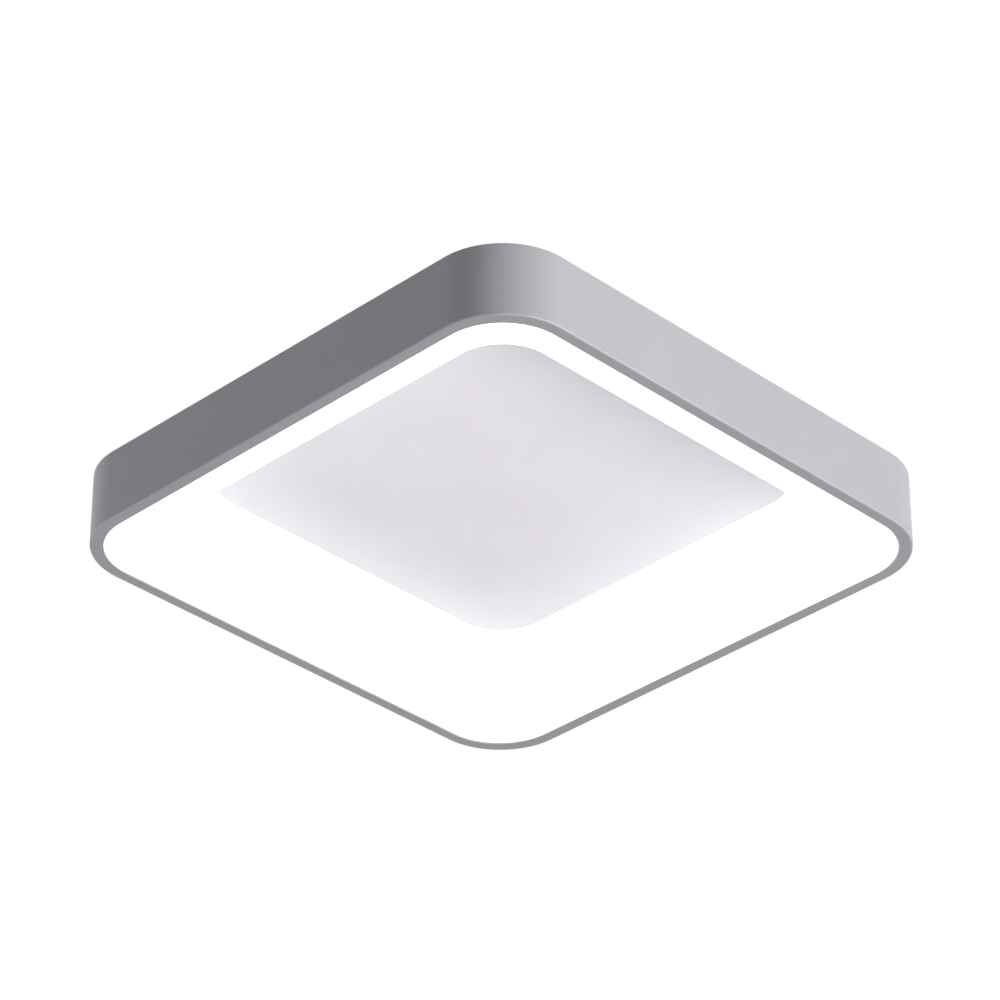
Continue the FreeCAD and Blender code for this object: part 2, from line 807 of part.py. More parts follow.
def driver_capacitors():
    """Two round cans with a crimped neck, and one square film capacitor."""
    body = piece("driver_capacitors")
    x, y = size.driver_place, driver_middle
    radius, edge = size.can_radius, size.small_corner
    end = circuit_under - size.can_height
    can = turned(body, "can", outline(
        (0, end), (radius - edge, end), (radius, end + edge),
        (radius, circuit_under - 3 * edge), (radius - edge, circuit_under - 2 * edge),
        (radius, circuit_under - edge), (radius, circuit_under), (0, circuit_under),
    ), x - size.can_pitch / 2, y + size.core_length)
    in_row(body, "pair", [can], "X_Axis", size.can_pitch, 2)
    film = rounded(size.film_width, size.film_thickness, edge, x, y + size.film_place)
    grow(body, "film", [film], circuit_under, size.film_height)


def driver_choke():
    """The ring choke, an eight sided section turned about its axis."""
    body = piece("driver_choke")
    ring, wire = size.choke_radius, size.choke_wire
    under = circuit_under - 2 * wire
    turned(body, "ring", outline(
        (ring - 2 * wire, under + wire / 2), (ring - 1.5 * wire, under), (ring - wire / 2, under),
        (ring, under + wire / 2), (ring, circuit_under - wire / 2), (ring - wire / 2, circuit_under),
        (ring - 1.5 * wire, circuit_under), (ring - 2 * wire, circuit_under - wire / 2),
    ), size.driver_place, driver_middle - size.core_length - wire)


# Root: lever terminal

def terminal_body():
    """The three pole housing: wire entries at both ends, a lever slot and pin holes for each pole."""
    body = piece("terminal_body")
    x = size.terminal_place
    span = size.terminal_back - size.terminal_front
    grow(body, "housing", [rounded(size.terminal_width, span, size.terminal_corner, x, terminal_middle)],
         sheet_under, size.terminal_height)
    ear_reach = size.terminal_width + 2 * size.terminal_ear
    grow(body, "ears", [rounded(ear_reach, size.terminal_ear_length, size.driver_corner, x, terminal_middle)],
         sheet_under, size.terminal_ear_sheet)
    ears = [disc(x + side * size.terminal_screw_reach, terminal_middle, size.screw_hole) for side in (-1, 1)]
    cut(body, "ear_holes", ears, sheet_under, size.terminal_ear_sheet)

    half_slot = size.lever_width / 2 + size.lever_gap
    slots = []
    for pole in (-1, 0, 1):
        middle = x + pole * size.terminal_pitch
        slots.append(box(middle - half_slot, middle + half_slot, size.terminal_front - size.play,
                         lever_axis_y + size.lever_length + size.lever_gap))
    cut(body, "lever_slots", slots, terminal_under + size.lever_sheet + size.lever_gap,
        size.lever_sheet + 2 * size.lever_gap)
    wells = []
    for pole in (-1, 0, 1):
        middle = x + pole * size.terminal_pitch
        wells.append(box(middle - half_slot, middle + half_slot, size.terminal_front - size.play,
                         lever_axis_y + size.lever_hub + size.lever_gap))
    cut(body, "hub_wells", wells, lever_axis_z + size.lever_hub + size.lever_gap,
        2 * size.lever_hub + size.lever_gap)
    pin_span = size.terminal_pitch * 2 + size.lever_width + 2 * (size.lever_gap + size.lever_pin_reach)
    cut(body, "pin_bore", [disc(lever_axis_y, lever_axis_z, size.lever_pin_hole)],
        x - pin_span / 2, pin_span, "YZ_Plane")

    entry = size.pole_entry / 2
    entries = [box(x + pole * size.terminal_pitch - entry, x + pole * size.terminal_pitch + entry,
                   pole_level - entry, pole_level + entry) for pole in (-1, 0, 1)]
    cut(body, "entries", entries, -size.terminal_back, span, "XZ_Plane")


def terminal_clamps():
    """The sprung copper strip of each pole, in the top of its wire channel."""
    body = piece("terminal_clamps")
    top = pole_level + size.pole_entry / 2
    thick = size.clamp_strip_sheet
    start = terminal_middle - size.clamp_strip_length / 2
    end = terminal_middle + size.clamp_strip_length / 2
    half_width = size.pole_entry / 2 - size.play
    strip = grow(body, "strip", [outline(
        (start, top - thick), (end - thick * 2, top - thick), (end - thick * 2, top - 3 * thick),
        (end - thick, top - 3 * thick), (end, top - thick), (end, top), (start, top),
    )], size.terminal_place - size.terminal_pitch - half_width, 2 * half_width, "YZ_Plane")
    in_row(body, "poles", [strip], "X_Axis", 2 * size.terminal_pitch, 3)


def terminal_levers():
    """Three levers, each with a round hub, two stub pins, and an arm that lies flush when closed."""
    for number in range(3):
        middle = size.terminal_place + (number - 1) * size.terminal_pitch
        body = piece(f"terminal_lever_{number + 1}")
        start = middle - size.lever_width / 2
        arm_end = lever_axis_y + size.lever_length
        hub = disc(lever_axis_y, lever_axis_z, size.lever_hub)
        grow(body, "hub", [hub], start, size.lever_width, "YZ_Plane")
        grow(body, "arm", [outline(
            (lever_axis_y, terminal_under), (arm_end - size.lever_sheet, terminal_under),
            (arm_end, terminal_under + size.lever_sheet / 2), (arm_end, terminal_under + size.lever_sheet),
            (lever_axis_y, terminal_under + size.lever_sheet),
        )], start, size.lever_width, "YZ_Plane")
        pin_reach = size.lever_gap + size.lever_pin_reach - size.play
        grow(body, "pins", [disc(lever_axis_y, lever_axis_z, size.lever_pin)],
             start - pin_reach, size.lever_width + 2 * pin_reach, "YZ_Plane")


def terminal_screws():
    """The two screws of the lever terminal."""
    body = piece("terminal_screws")
    first = screw(body, "screw", size.terminal_place - size.terminal_screw_reach, terminal_middle,
                  sheet_under - size.terminal_ear_sheet, shank_top)
    in_row(body, "pair", first, "X_Axis", 2 * size.terminal_screw_reach, 2)


# Root: wires

def wire(points, radius):
    """A round wire along straight runs joined by tangent arcs, as wide as the runs allow."""
    spots = [FreeCAD.Vector(*point) for point in points]
    edges = []
    start = spots[0]
    smallest = math.inf
    for before, corner, after in zip(spots, spots[1:], spots[2:]):
        into, out = corner - before, after - corner
        half_turn = into.getAngle(out) / 2
        run = min(into.Length, out.Length)
        trim = BEND_SHARE * run
        bend = trim / math.tan(half_turn)
        smallest = min(smallest, bend)
        into.normalize()
        out.normalize()
        arc_start, arc_end = corner - into * trim, corner + out * trim
        inward = (out - into).normalize()
        arc_middle = corner + inward * (bend / math.cos(half_turn) - bend)
        edges.append(Part.LineSegment(start, arc_start).toShape())
        edges.append(Part.Arc(arc_start, arc_middle, arc_end).toShape())
        start = arc_end
    edges.append(Part.LineSegment(start, spots[-1]).toShape())
    path = Part.Wire(edges)
    ring = Part.Wire(Part.makeCircle(radius, spots[0], spots[1] - spots[0]))
    tube = path.makePipeShell([ring], True, False)
    share = tube.Volume / (math.pi * radius**2 * path.Length)
    print(f"wire {path.Length:.1f} mm, smallest bend radius {smallest:.1f} mm, volume share {share:.4f}")
    return tube


def wire_piece(name, routes, radius, turn=0):
    """One node of wires, its shape worked out from the routes, which come from the sheet."""
    feature = document.addObject("Part::Feature", name)
    feature.Label = name
    tubes = []
    for route in routes:
        tubes.append(wire([[length(part).value for part in point] for point in route], radius.value))
    feature.Shape = Part.makeCompound(tubes) if len(tubes) > 1 else tubes[0]
    feature.Placement = FreeCAD.Placement(FreeCAD.Vector(0, 0, 0),
                                          FreeCAD.Rotation(FreeCAD.Vector(0, 0, 1), turn))
    pieces.append(feature)


def mains_wires():
    """Live and neutral from the lever terminal to the driver, and earth to the ring tongue."""
    start, x, pitch = size.terminal_back, size.terminal_place, size.terminal_pitch
    inside = start - size.wire_entry
    port = driver_middle - port_face
    for name, pole in (("live_wire", -1), ("neutral_wire", 0)):
        leave, arrive = x + pole * pitch, size.driver_place + (pole + 0.5) * pitch
        wire_piece(name, [[
            (leave, inside, pole_level), (leave, start + size.wire_lead, pole_level),
            (arrive, port - size.wire_lead, port_level), (arrive, port + size.wire_entry, port_level),
        ]], size.wire_radius)
    barrel_end = earth_barrel_start - size.earth_barrel_length
    barrel_level = sheet_under - size.earth_barrel
    wire_piece("earth_wire", [[
        (x + pitch, inside, pole_level), (x + pitch, start + size.earth_lead, pole_level),
        (size.earth_place_x, barrel_end - size.earth_lead, barrel_level),
        (size.earth_place_x, barrel_end, barrel_level),
    ]], size.wire_radius)


def led_feed_wires():
    """The pair from the driver's output to the feed plug on the first board."""
    port = driver_middle + port_face
    plug_face = size.board_place + size.feed_plug_offset + size.plug_width / 2
    routes = []
    for side in (-1, 1):
        leave = size.driver_place + side * size.terminal_pitch / 2
        arrive = size.feed_plug_place + side * size.thin_wire_gap / 2
        bend = size.driver_high + size.wire_lead + side * size.thin_wire_gap
        routes.append([
            (leave, port - size.wire_entry, port_level), (leave, bend, port_level),
            (plug_face + size.wire_lead, arrive, plug_level), (plug_face, arrive, plug_level),
        ])
    wire_piece("led_feed_wires", routes, size.thin_wire_radius)


def jumper_wires():
    """The pairs that link one board to the next round three of the corners."""
    for number in range(SIDES - 1):
        routes = []
        for side in (-1, 1):
            lane = size.board_place + side * size.thin_wire_gap / 2
            bend = size.plug_place + size.wire_lead + side * size.thin_wire_gap / 2
            routes.append([
                (lane, size.plug_place, plug_level), (lane, bend, plug_level),
                (bend, lane, plug_level), (size.plug_place, lane, plug_level),
            ])
        wire_piece(f"jumper_wires_{number + 1}", routes, size.thin_wire_radius, turn=90 * number)


# Shade: frame

def frame_ring():
    """The painted sheet metal wall with its inward lip and the small bend between them."""
    body = piece("frame_ring")
    width = size.overall_width
    block = rounded(width, width, size.corner_radius)
    shell = grow(body, "shell", [block], frame_top, frame_top - lamp_bottom)
    document.recompute()
    soften(body, "bend", shell, rim_edges(shell, lamp_bottom.value), size.frame_bend)
    inner = width - 2 * size.frame_sheet
    inside = cut(body, "inside", [rounded(inner, inner, size.corner_radius - size.frame_sheet)],
                 frame_top, frame_top - lip_top)
    document.recompute()
    soften(body, "bend_inside", inside, rim_edges(inside, lip_top.value), size.frame_bend_inside)
    window = width - 2 * size.lip_width
    cut(body, "window", [rounded(window, window, size.lip_radius)], lip_top, size.frame_sheet)


def frame_joint_plate():
    """The splice that closes the frame strip, welded inside the middle of the wall behind."""
    body = piece("frame_joint_plate")
    half = size.joint_plate_width / 2
    centre = (frame_top + lamp_bottom) / 2
    tall = size.joint_plate_height
    grow(body, "plate", [rounded(2 * half, tall, size.driver_corner, y=centre)],
         -wall_inside, size.joint_plate_sheet, "XZ_Plane")


def corner_brackets():
    """A gusset in each corner of the frame, with two welded tabs and holes for its two magnets."""
    body = piece("corner_brackets")
    far, near = wall_inside, wall_inside - size.bracket_reach
    arc_start = size.overall_width / 2 - size.corner_radius
    level = -size.bracket_drop
    gusset = grow(body, "gusset", [outline(
        (near, far), (far, near), (far, arc_start, size.corner_radius - size.frame_sheet), (arc_start, far),
    )], level, size.bracket_sheet)
    holes = [disc(size.magnet_far, size.magnet_near, size.screw_hole),
             disc(size.magnet_near, size.magnet_far, size.screw_hole)]
    bores = cut(body, "holes", holes, level, size.bracket_sheet)
    start, end = arc_start - size.bracket_tab_width, arc_start
    tab_top = level - size.bracket_sheet
    tabs = grow(body, "tabs", [box(far - size.bracket_sheet, far, start, end),
                               box(start, end, far - size.bracket_sheet, far)],
                tab_top, size.bracket_tab_height)
    around(body, "corners", [gusset, bores, tabs])


def at_magnets(body, name, build):
    """What build makes at the two magnet places of one corner, repeated in all four corners."""
    features = []
    for number, (x, y) in enumerate(((size.magnet_far, size.magnet_near),
                                     (size.magnet_near, size.magnet_far)), start=1):
        features += build(body, f"{name}_{number}", x, y)
    around(body, f"{name}s", features)


def magnet_cups():
    """Eight steel cups with a ring shaped pocket in the face that meets the chassis plate."""
    under, floor = -size.bracket_drop, size.magnet_floor - size.bracket_drop
    rim, core = size.magnet_ring + size.play, size.magnet_ring_bore - size.play
    profile = outline(
        (size.screw_hole, under), (size.magnet_cup, under), (size.magnet_cup, sheet_under),
        (rim, sheet_under), (rim, floor), (core, floor), (core, sheet_under), (size.screw_hole, sheet_under),
    )
    at_magnets(piece("magnet_cups"), "cup", lambda body, name, x, y: [turned(body, name, profile, x, y)])


def magnet_rings():
    """The ring magnets, sunk a little below the face of their cups."""
    profile = box(size.magnet_ring_bore, size.magnet_ring, size.magnet_floor - size.bracket_drop,
                  sheet_under - size.magnet_ring_sink)
    at_magnets(piece("magnet_rings"), "ring", lambda body, name, x, y: [turned(body, name, profile, x, y)])


def magnet_screws():
    """The screws that hold the magnet cups on the corner brackets."""
    seat = -size.bracket_drop - size.bracket_sheet
    reach = sheet_under - size.frame_sheet
    at_magnets(piece("magnet_screws"), "screw", lambda body, name, x, y: screw(body, name, x, y, seat, reach))


# Shade: diffuser

def loft_sketches(body, name, sections):
    """Sketches of square outlines, one for each width, radius and level."""
    sketches = []
    for number, (width, radius, level) in enumerate(sections, start=1):
        sketch = sketch_on(body, f"{name}_{number}", "XY_Plane", z=level)
        rounded(width, width, radius)(sketch)
        sketches.append(sketch)
    return sketches


def diffuser():
    """The opal moulding: a flat band on the lip and four slanted walls that rise to the centre plate."""
    body = piece("diffuser")
    rise = recess_top - lip_top
    run = (size.recess_width - size.recess_top_width) / 2
    slant = math.hypot(rise.value, run.value)
    wall_across = size.diffuser_sheet * slant / rise
    grow(body, "band", [rounded(size.diffuser_width, size.diffuser_width, size.diffuser_radius)],
         flange_top, size.diffuser_sheet)
    outer = loft_sketches(body, "outer", [
        (size.recess_width + 2 * wall_across, size.recess_radius + wall_across, lip_top),
        (size.recess_top_width + 2 * wall_across, size.recess_top_radius + wall_across, recess_top),
    ])
    walls = body.newObject("PartDesign::AdditiveLoft", "walls")
    walls.Profile = outer[0]
    walls.Sections = outer[1:]
    walls.Ruled = True
    inner = loft_sketches(body, "inner", [
        (size.recess_width, size.recess_radius, lip_top),
        (size.recess_top_width, size.recess_top_radius, recess_top),
    ])
    hollow = body.newObject("PartDesign::SubtractiveLoft", "recess")
    hollow.Profile = inner[0]
    hollow.Sections = inner[1:]
    hollow.Ruled = True
    notches = []
    for side in (-1, 1):
        middle = side * size.clip_place
        notches.append(box(wall_inside - size.notch_reach, wall_inside,
                           middle - size.notch_back, middle + size.notch_front))
    notch = cut(body, "notch", notches, flange_top, size.diffuser_sheet)
    around(body, "notches", [notch])


# Shade: clips

def clip_brackets():
    """Angle brackets on the frame wall, two on each side, that carry the clips' rivets."""
    body = piece("clip_brackets")
    half = size.clip_bracket_width / 2
    under = clip_top + size.clip_lift
    features = []
    for label, side in (("low", -1), ("high", 1)):
        middle = side * size.clip_place
        shelf = grow(body, f"{label}_shelf", [box(wall_inside - size.clip_bracket_reach, wall_inside,
                                                  middle - half, middle + half)],
                     under + size.clip_bracket_sheet, size.clip_bracket_sheet)
        hole = cut(body, f"{label}_hole", [disc(size.clip_pivot, middle, size.rivet_hole)],
                   under + size.clip_bracket_sheet, size.clip_bracket_sheet)
        back = grow(body, f"{label}_back", [box(wall_inside - size.clip_bracket_sheet, wall_inside,
                                                middle - half, middle + half)],
                    under + size.clip_bracket_height, size.clip_bracket_height - size.clip_bracket_sheet)
        features += [shelf, hole, back]
    around(body, "sides", features)


def clip_rivets():
    """The rivets that the clips turn on, with a head above the bracket and one under the clip."""
    body = piece("clip_rivets")
    upper = clip_top + size.clip_lift + size.clip_bracket_sheet
    lower = flange_top + size.clip_lift - size.play
    head, flat = size.rivet_head, size.rivet_head_flat
    shank, tall = size.rivet_shank, size.rivet_head_height
    features = []
    for label, side in (("low", -1), ("high", 1)):
        features.append(turned(body, f"{label}_rivet", outline(
            (0, lower - tall), (flat, lower - tall), (head, lower - tall / 2), (head, lower),
            (shank, lower), (shank, upper), (head, upper), (head, upper + tall / 2),
            (flat, upper + tall), (0, upper + tall),
        ), size.clip_pivot, side * size.clip_place))
    around(body, "sides", features)


def diffuser_clips():
    """Eight turning clips: an arm with rounded ends, turning on a rivet."""
    half = size.clip_width / 2
    for number in range(2 * SIDES):
        side, end = divmod(number, 2)
        middle = size.clip_place * (2 * end - 1)
        body = piece(f"diffuser_clip_{number + 1}", turn=90 * side, move=(size.clip_pivot, middle, 0))
        grow(body, "arm", [outline(
            (-half, 0, half), (0, -half, half), (half, 0), (half, size.clip_arm - half, half),
            (0, size.clip_arm, half), (-half, size.clip_arm - half),
        )], clip_top, size.clip_sheet)
        cut(body, "hole", [disc(0, 0, size.rivet_hole)], clip_top, size.clip_sheet)


def main():
    """Builds every piece, checks it and writes it to its own file."""
    chassis_plate()
    edge_strips()
    bonding_tape()
    centre_plate()
    cable_grommet()
    earth_terminal()
    earth_washer()
    earth_screw()
    led_boards()
    led_chips()
    led_lenses()
    board_screws()
    board_connectors()
    driver_base()
    driver_cover()
    driver_screws()
    driver_circuit_board()
    driver_terminals()
    driver_transformer()
    driver_winding()
    driver_capacitors()
    driver_choke()
    terminal_body()
    terminal_clamps()
    terminal_levers()
    terminal_screws()
    mains_wires()
    led_feed_wires()
    jumper_wires()
    frame_ring()
    frame_joint_plate()
    corner_brackets()
    magnet_cups()
    magnet_rings()
    magnet_screws()
    diffuser()
    clip_brackets()
    clip_rivets()
    diffuser_clips()
    document.recompute()

    failed = [part.Name for part in document.Objects if {"Invalid", "Error"} & set(part.State)]
    if failed:
        raise SystemExit(f"these features failed: {failed}")
    for part in pieces:
        if part.Shape.isNull() or not part.Shape.isValid() or not part.Shape.Solids:
            raise SystemExit(f"{part.Label} has no valid shape")
    for part in pieces:
        bounds = part.Shape.BoundBox
        part.Shape.exportStep(f"parts/{part.Label}.step")
        print(f"{part.Label}: {len(part.Shape.Solids)} solids, {part.Shape.Volume / 1000:.2f} cm3, "
              f"x {bounds.XMin:.1f} to {bounds.XMax:.1f}, y {bounds.YMin:.1f} to {bounds.YMax:.1f}, "
              f"z {bounds.ZMin:.2f} to {bounds.ZMax:.2f}")
    print(len(pieces), "nodes")


main()
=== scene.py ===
# %% [markdown]
# A square flush ceiling light with softly rounded corners, seen from below and lit.
# The CAD parts come in as a fixed frame. This lesson dresses them: each step says what a
# piece or a finish is on the real light, how it could be made in Blender, and why this way
# was chosen.

# %% Load the frame
import math
import bmesh
import bpy
import numpy as np
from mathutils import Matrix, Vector


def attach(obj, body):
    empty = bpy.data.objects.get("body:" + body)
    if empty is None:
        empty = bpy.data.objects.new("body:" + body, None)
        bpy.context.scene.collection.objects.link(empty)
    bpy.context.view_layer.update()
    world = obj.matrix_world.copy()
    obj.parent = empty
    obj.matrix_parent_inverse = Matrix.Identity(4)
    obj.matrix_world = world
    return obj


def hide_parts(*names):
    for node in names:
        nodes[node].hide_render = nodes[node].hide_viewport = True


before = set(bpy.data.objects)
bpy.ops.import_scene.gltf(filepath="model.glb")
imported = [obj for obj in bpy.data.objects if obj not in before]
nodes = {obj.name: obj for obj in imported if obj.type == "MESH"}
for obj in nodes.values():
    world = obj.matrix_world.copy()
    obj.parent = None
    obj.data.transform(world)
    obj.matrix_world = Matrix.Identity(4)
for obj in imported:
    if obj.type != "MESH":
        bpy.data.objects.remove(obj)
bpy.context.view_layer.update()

# %% [markdown]
# The photograph was taken from below one corner with a long lens, which shows in how little
# the far sides shrink. The camera could be set by eye, but a fit to the outlines gives its
# place and its two turns directly: it stands on the diagonal of the light and looks up by
# about 32 degrees.

# %% Camera
MM = 0.001
LENS = 156.34
SENSOR = 36.0
CAMERA_PLACE = (-2.08834, -2.07160, -1.88674)
CAMERA_HEADING = 0.781756
CAMERA_RISE = 0.565969

camera_data = bpy.data.cameras.new("long_lens")
camera_data.lens = LENS
camera_data.sensor_width = SENSOR
camera_data.clip_end = 100
camera = bpy.data.objects.new("long_lens", camera_data)
bpy.context.scene.collection.objects.link(camera)
camera.location = CAMERA_PLACE
camera.rotation_euler = (math.pi / 2 + CAMERA_RISE, 0, CAMERA_HEADING - math.pi / 2)
bpy.context.scene.camera = camera
bpy.context.scene.view_settings.view_transform = "Standard"
print("camera", camera_data.lens, "mm, rising", round(math.degrees(CAMERA_RISE), 1), "degrees")

# %% [markdown]
# The picture has a plain white ground with no shadow on it. More light would wash the light
# itself out, so the world has two parts: a dim one that lights the object, and a white one
# that only the camera, mirrors and clear plastic see. Light Path tells the two apart.

# %% World
AMBIENT = 0.09


def link(tree, source, target):
    """Joins one output socket to one input socket."""
    tree.links.new(source, target)


def maths(tree, operation, *inputs):
    """One Math node. Each input is an output socket or a number."""
    node = tree.nodes.new("ShaderNodeMath")
    node.operation = operation
    for socket, value in zip(node.inputs, inputs):
        if isinstance(value, bpy.types.NodeSocket):
            link(tree, value, socket)
        else:
            socket.default_value = value
    return node.outputs[0]


def seen_rays(tree):
    """A factor of 1 for rays of the camera, of reflections and through clear plastic."""
    path = tree.nodes.new("ShaderNodeLightPath")
    mirrored = maths(tree, "MAXIMUM", path.outputs["Is Camera Ray"], path.outputs["Is Glossy Ray"])
    return maths(tree, "MAXIMUM", mirrored, path.outputs["Is Transmission Ray"])


world = bpy.data.worlds.new("studio")
bpy.context.scene.world = world
world.use_nodes = True
sky = world.node_tree
sky.nodes.clear()
dim = sky.nodes.new("ShaderNodeBackground")
dim.inputs["Color"].default_value = (0.95, 0.90, 1.0, 1)
dim.inputs["Strength"].default_value = AMBIENT
white = sky.nodes.new("ShaderNodeBackground")
white.inputs["Color"].default_value = (1, 1, 1, 1)
white.inputs["Strength"].default_value = 1
both = sky.nodes.new("ShaderNodeMixShader")
sky_out = sky.nodes.new("ShaderNodeOutputWorld")
link(sky, seen_rays(sky), both.inputs["Fac"])
link(sky, dim.outputs[0], both.inputs[1])
link(sky, white.outputs[0], both.inputs[2])
link(sky, both.outputs[0], sky_out.inputs["Surface"])
print("world lights at", AMBIENT, "and shows at 1")

# %% [markdown]
# In the photograph the wall on the right is bright and the wall on the left is dark, with a
# smooth ramp round the corner between them. A far window low on the right does that, and a
# large soft lamp below it softens the ramp. That lamp also reaches the centre plate, where
# the edge on its own side stays a little darker, because the deep recess shades it. A weaker
# lamp below and one at the far left fill the shadows. One more hangs above, for views of the
# chassis from the ceiling side, and only the light it sends off the floor gets down here.

# %% Lamps


def soft_lamp(name, place, size, power, tint=(1, 1, 1)):
    """A square lamp at a place in metres that faces the light's middle.
    The camera doesn't see it, so no bright square stands in a view that looks its way."""
    data = bpy.data.lights.new(name, "AREA")
    data.shape = "SQUARE"
    data.size = size
    data.energy = power
    data.color = tint
    lamp = bpy.data.objects.new(name, data)
    bpy.context.scene.collection.objects.link(lamp)
    lamp.location = place
    lamp.visible_camera = False
    lamp.rotation_euler = (-Vector(place)).to_track_quat("-Z", "Y").to_euler()
    return lamp


def window_light(name, direction, strength, spread_degrees):
    """A far lamp that lights from one direction, as a big window across a hall does."""
    data = bpy.data.lights.new(name, "SUN")
    data.energy = strength
    data.angle = math.radians(spread_degrees)
    lamp = bpy.data.objects.new(name, data)
    bpy.context.scene.collection.objects.link(lamp)
    lamp.rotation_euler = (-Vector(direction)).to_track_quat("-Z", "Y").to_euler()
    return lamp


lamps = [
    window_light("right_window", (0.383, -0.924, -0.017), 2.88, 14),
    soft_lamp("right_lamp", (0.0, -2.86, -2.18), 2.0, 99),
    soft_lamp("room_lamp", (0.82, -1.60, -3.12), 2.0, 17),
    soft_lamp("left_lamp", (-1.77, 3.07, -0.63), 2.0, 71, (0.95, 0.89, 1.0)),
    soft_lamp("top_lamp", (0.0, 0.0, 3.4), 3.0, 80),
]
print("lamps", [lamp.name for lamp in lamps])

# %% [markdown]
# Every new piece below is a grid of points worked out with numpy. Blender could build them
# from primitives and modifiers, but a formula says exactly what the shape is, and its sizes
# stay readable. One helper turns a grid into a mesh. It measures the enclosed volume, and
# turns the faces round if that comes out negative, so that they always point outwards.

# %% Grid to mesh
SHARP = math.radians(35)


def grid_faces(rows, columns, rows_close, columns_close):
    """Four corners for each face between neighbouring rows and columns of a grid."""
    row = np.arange(rows if rows_close else rows - 1)
    column = np.arange(columns if columns_close else columns - 1)
    a, b = np.meshgrid(row, column, indexing="ij")
    next_a, next_b = (a + 1) % rows, (b + 1) % columns
    corners = [a * columns + b, next_a * columns + b, next_a * columns + next_b, a * columns + next_b]
    return np.stack(corners, axis=-1).reshape(-1, 4)


def volume(points, faces):
    """A sixth of the sum of the triple products of each face's two triangles."""
    p = points[faces]
    first = np.einsum("ij,ij->i", p[:, 0], np.cross(p[:, 1], p[:, 2]))
    second = np.einsum("ij,ij->i", p[:, 0], np.cross(p[:, 2], p[:, 3]))
    return (first + second).sum() / 6


def piece(name, points, body, finish, rows_close=False, columns_close=True, sharp=SHARP):
    """One object from a grid (rows, columns, 3), or from many equal grids (count, rows, columns, 3)."""
    points = np.asarray(points, float)
    if points.ndim == 3:
        points = points[None]
    count, rows, columns, _ = points.shape
    one = grid_faces(rows, columns, rows_close, columns_close)
    faces = (one[None] + (np.arange(count) * rows * columns)[:, None, None]).reshape(-1, 4)
    flat = points.reshape(-1, 3)
    middle = flat.mean(0)
    if volume(flat - middle, faces) < 0:
        faces = faces[:, ::-1]
    mesh = bpy.data.meshes.new(name)
    mesh.from_pydata(flat, [], faces)
    mesh.validate()
    thing = bpy.data.objects.new(name, mesh)
    bpy.context.scene.collection.objects.link(thing)
    close_poles(mesh)
    mesh.shade_smooth()
    mesh.set_sharp_from_angle(angle=sharp)
    mesh.materials.append(finish)
    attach(thing, body)
    print(name, count, "x", rows, "x", columns, "points, volume",
          round(abs(volume(flat - middle, faces)) * 1e9, 1), "mm3")
    return thing


def close_poles(mesh):
    """Joins the points that fall together where a grid closes on a pole or an axis."""
    shell = bmesh.new()
    shell.from_mesh(mesh)
    bmesh.ops.remove_doubles(shell, verts=shell.verts, dist=1e-6)
    bmesh.ops.dissolve_degenerate(shell, edges=shell.edges, dist=1e-7)
    shell.to_mesh(mesh)
    shell.free()


# %% [markdown]
# Two kinds of line describe most of this light. One is the square with rounded corners, seen
# from above. The other is the section of a bent sheet, seen from its end. Carrying the
# section round the square gives the frame.

# %% Rounded square and rounded section
QUARTER = math.pi / 2


def square_way(corner=20, stops=(0.25, 0.5, 0.75)):
    """The corner centres and outward directions round a square of half-width 1.
    The centre waits at a corner while the direction turns a quarter, and then the direction
    holds while the centre runs to the next corner, with points at the given stops."""
    turn = np.concatenate([np.linspace(0, 1, corner + 1), np.ones(len(stops))])
    run = np.concatenate([np.zeros(corner + 1), np.asarray(stops, float)])
    side = np.arange(4)[:, None]
    angle = (side + turn) * QUARTER
    start = np.sqrt(2) * np.stack([np.cos((side + 0.5) * QUARTER), np.sin((side + 0.5) * QUARTER)], -1)
    end = np.roll(start, -1, axis=0)
    centre = start + run[None, :, None] * (end - start)
    outward = np.stack([np.cos(angle), np.sin(angle)], -1)
    return centre.reshape(-1, 2), outward.reshape(-1, 2)


def rounded_section(corners, steps=6, hold=0.35):
    """A closed section whose corners (across, up, radius) are rounded.
    Each corner becomes an arc that touches both of its sides, with one more point on each
    side just past the arc, which keeps the shading of the flat from bending."""
    spots = np.array([c[:2] for c in corners], float)
    rows = []
    for index, (here, radius) in enumerate(zip(spots, [c[2] for c in corners])):
        back = spots[index - 1] - here
        ahead = spots[(index + 1) % len(spots)] - here
        back, ahead = back / np.linalg.norm(back), ahead / np.linalg.norm(ahead)
        half = math.acos(np.clip(back @ ahead, -1, 1)) / 2
        reach = radius / math.tan(half)
        middle = here + (back + ahead) / np.linalg.norm(back + ahead) * radius / math.sin(half)
        first, last = here + back * reach - middle, here + ahead * reach - middle
        share = np.linspace(0, 1, steps + 1)[:, None]
        sweep = math.pi - 2 * half
        arc = (np.sin((1 - share) * sweep) * first + np.sin(share * sweep) * last) / math.sin(sweep)
        rows.append((here + back * reach * (1 + hold))[None])
        rows.append(middle + arc)
        rows.append((here + ahead * reach * (1 + hold))[None])
    return np.concatenate(rows)


def carry_round(section, radius_at, way):
    """The section carried round the square: at height up, a point is the corner centre
    times (across - radius), plus radius along the outward direction."""
    centre, outward = way
    across, up = section[:, 0, None, None], section[:, 1]
    radius = radius_at(section[:, 0])[:, None, None]
    plan = centre[None] * (across - radius) + outward[None] * radius
    height = np.broadcast_to(up[:, None, None], plan.shape[:2] + (1,))
    return np.concatenate([plan, height], axis=-1) * MM


way_round = square_way()
print("a rounded square has", len(way_round[0]), "points")

# %% [markdown]
# A finish in Blender is a small tree of nodes that ends in one main shader. Its detail starts
# from patterns: a soft noise, cells or bands. All of them read the place on the object, and
# never the camera, so they stay where they are when the view turns and they can be exported.

# %% Patterns


